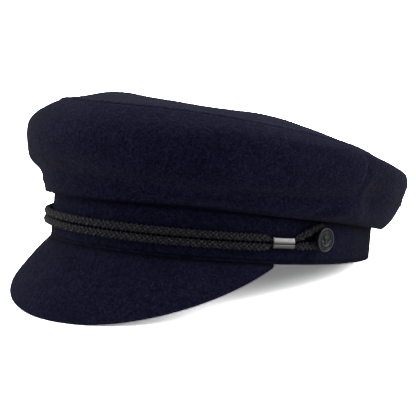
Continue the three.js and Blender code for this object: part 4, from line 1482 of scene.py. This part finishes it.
class CAP_OT_stage(bpy.types.Operator):
    """Sets up the floor, the soft studio light and the camera at the photograph's angle"""

    bl_idname = "cap.stage"
    bl_label = "Studio"

    def execute(self, context):
        scene = context.scene
        bpy.ops.object.select_all(action="DESELECT")
        bpy.ops.mesh.primitive_plane_add(size=8, location=(0, 0, -0.00005))
        floor = bpy.context.object
        floor.name = "studio_floor"
        material, tree, shader = new_material("Pale floor")
        place = add_node(tree, "TexCoord").outputs["Object"]
        pale = tuple(scene.cap_colours.floor)
        base = mixed(tree, noise_at(tree, place, 3.0, 2.0), shade_of(pale, 0.99), pale)
        seen = add_node(tree, "LightPath").outputs["Is Camera Ray"]
        base = mixed(tree, seen, base, shade_of(pale, FLOOR_EXPOSURE))
        white = add_node(tree, "BsdfDiffuse", {"Color": base}, Roughness=0.0)
        strength = maths(tree, "MULTIPLY", seen, FLOOR_GLOW)
        glow = add_node(tree, "Emission", {"Strength": strength}, Color=(1.0, 1.0, 1.0, 1.0))
        both = add_node(tree, "AddShader", {0: white.outputs[0], 1: glow.outputs[0]})
        tree.nodes.remove(shader)
        output = [n for n in tree.nodes if n.type == "OUTPUT_MATERIAL"][0]
        tree.links.new(both.outputs[0], output.inputs["Surface"])
        floor.data.materials.append(material)

        world = bpy.data.worlds.new("Studio")
        scene.world = world
        world.use_nodes = True
        tree = world.node_tree
        background = tree.nodes["Background"]
        background.inputs["Color"].default_value = (1.0, 1.0, 1.0, 1.0)
        seen = add_node(tree, "LightPath").outputs["Is Camera Ray"]
        strength = add_node(tree, "MapRange", {"Value": seen}, To_Min=WORLD_LIGHT, To_Max=WORLD_SEEN)
        tree.links.new(strength.outputs["Result"], background.inputs["Strength"])

        for lamp in LIGHTS:
            area_light(*lamp)

        turn, lift = math.radians(VIEW_TURN), math.radians(VIEW_LIFT)
        back = Vector((math.sin(turn) * math.cos(lift), -math.cos(turn) * math.cos(lift), math.sin(lift)))
        right = Vector((math.cos(turn), math.sin(turn), 0))
        up = back.cross(right)
        x0 = (ORIGIN_PIXEL[0] - PICTURE / 2) * MM_PER_PIXEL
        y0 = -(ORIGIN_PIXEL[1] - PICTURE / 2) * MM_PER_PIXEL
        eye = (back * VIEW_DISTANCE - right * x0 - up * y0) / 1000
        axes = Matrix((right, up, back)).transposed().to_4x4()
        tip = Matrix.Rotation(VIEW_TIP - TILT, 4, "X")
        camera = bpy.data.cameras.new("photograph")
        camera.sensor_width = SENSOR
        camera.lens = SENSOR * (VIEW_DISTANCE / MM_PER_PIXEL) / PICTURE
        camera.clip_start, camera.clip_end = 0.05, 30
        obj = bpy.data.objects.new("photograph", camera)
        scene.collection.objects.link(obj)
        obj.matrix_world = Matrix.Translation(ORIGIN) @ tip @ Matrix.Translation(eye) @ axes
        scene.camera = obj
        scene.view_settings.view_transform = "Standard"
        scene.view_settings.look = "None"
        return {"FINISHED"}


class VIEW3D_PT_cap(bpy.types.Panel):
    """Lists the cap's pieces, sizes and colours"""

    bl_idname = "VIEW3D_PT_cap"
    bl_label = "Fisherman cap"
    bl_space_type = "VIEW_3D"
    bl_region_type = "UI"
    bl_category = "Cap"

    def draw(self, context):
        layout = self.layout
        for step in STEPS:
            layout.operator(step.bl_idname)
        for group in (context.scene.cap_sizes, context.scene.cap_colours):
            column = layout.column(align=True)
            for name in group.__annotations__:
                column.prop(group, name)


STEPS = (CAP_OT_stage, CAP_OT_band, CAP_OT_crown, CAP_OT_peak, CAP_OT_cord, CAP_OT_ferrules, CAP_OT_buttons)
CLASSES = (CapSizes, CapColours, *STEPS, VIEW3D_PT_cap)


def register():
    """Registers the classes and hangs the settings on the scene."""
    for cls in CLASSES:
        bpy.utils.register_class(cls)
    bpy.types.Scene.cap_sizes = bpy.props.PointerProperty(type=CapSizes)
    bpy.types.Scene.cap_colours = bpy.props.PointerProperty(type=CapColours)


def unregister():
    """Takes the settings off the scene and unregisters the classes."""
    del bpy.types.Scene.cap_colours
    del bpy.types.Scene.cap_sizes
    for cls in reversed(CLASSES):
        bpy.utils.unregister_class(cls)


def main():
    """Dresses the frame piece by piece."""
    register()
    bpy.ops.cap.stage()
    bpy.ops.cap.band()
    bpy.ops.cap.crown()
    bpy.ops.cap.peak()
    bpy.ops.cap.cord()
    bpy.ops.cap.ferrules()
    bpy.ops.cap.buttons()


if __name__ == "__main__":
    main()
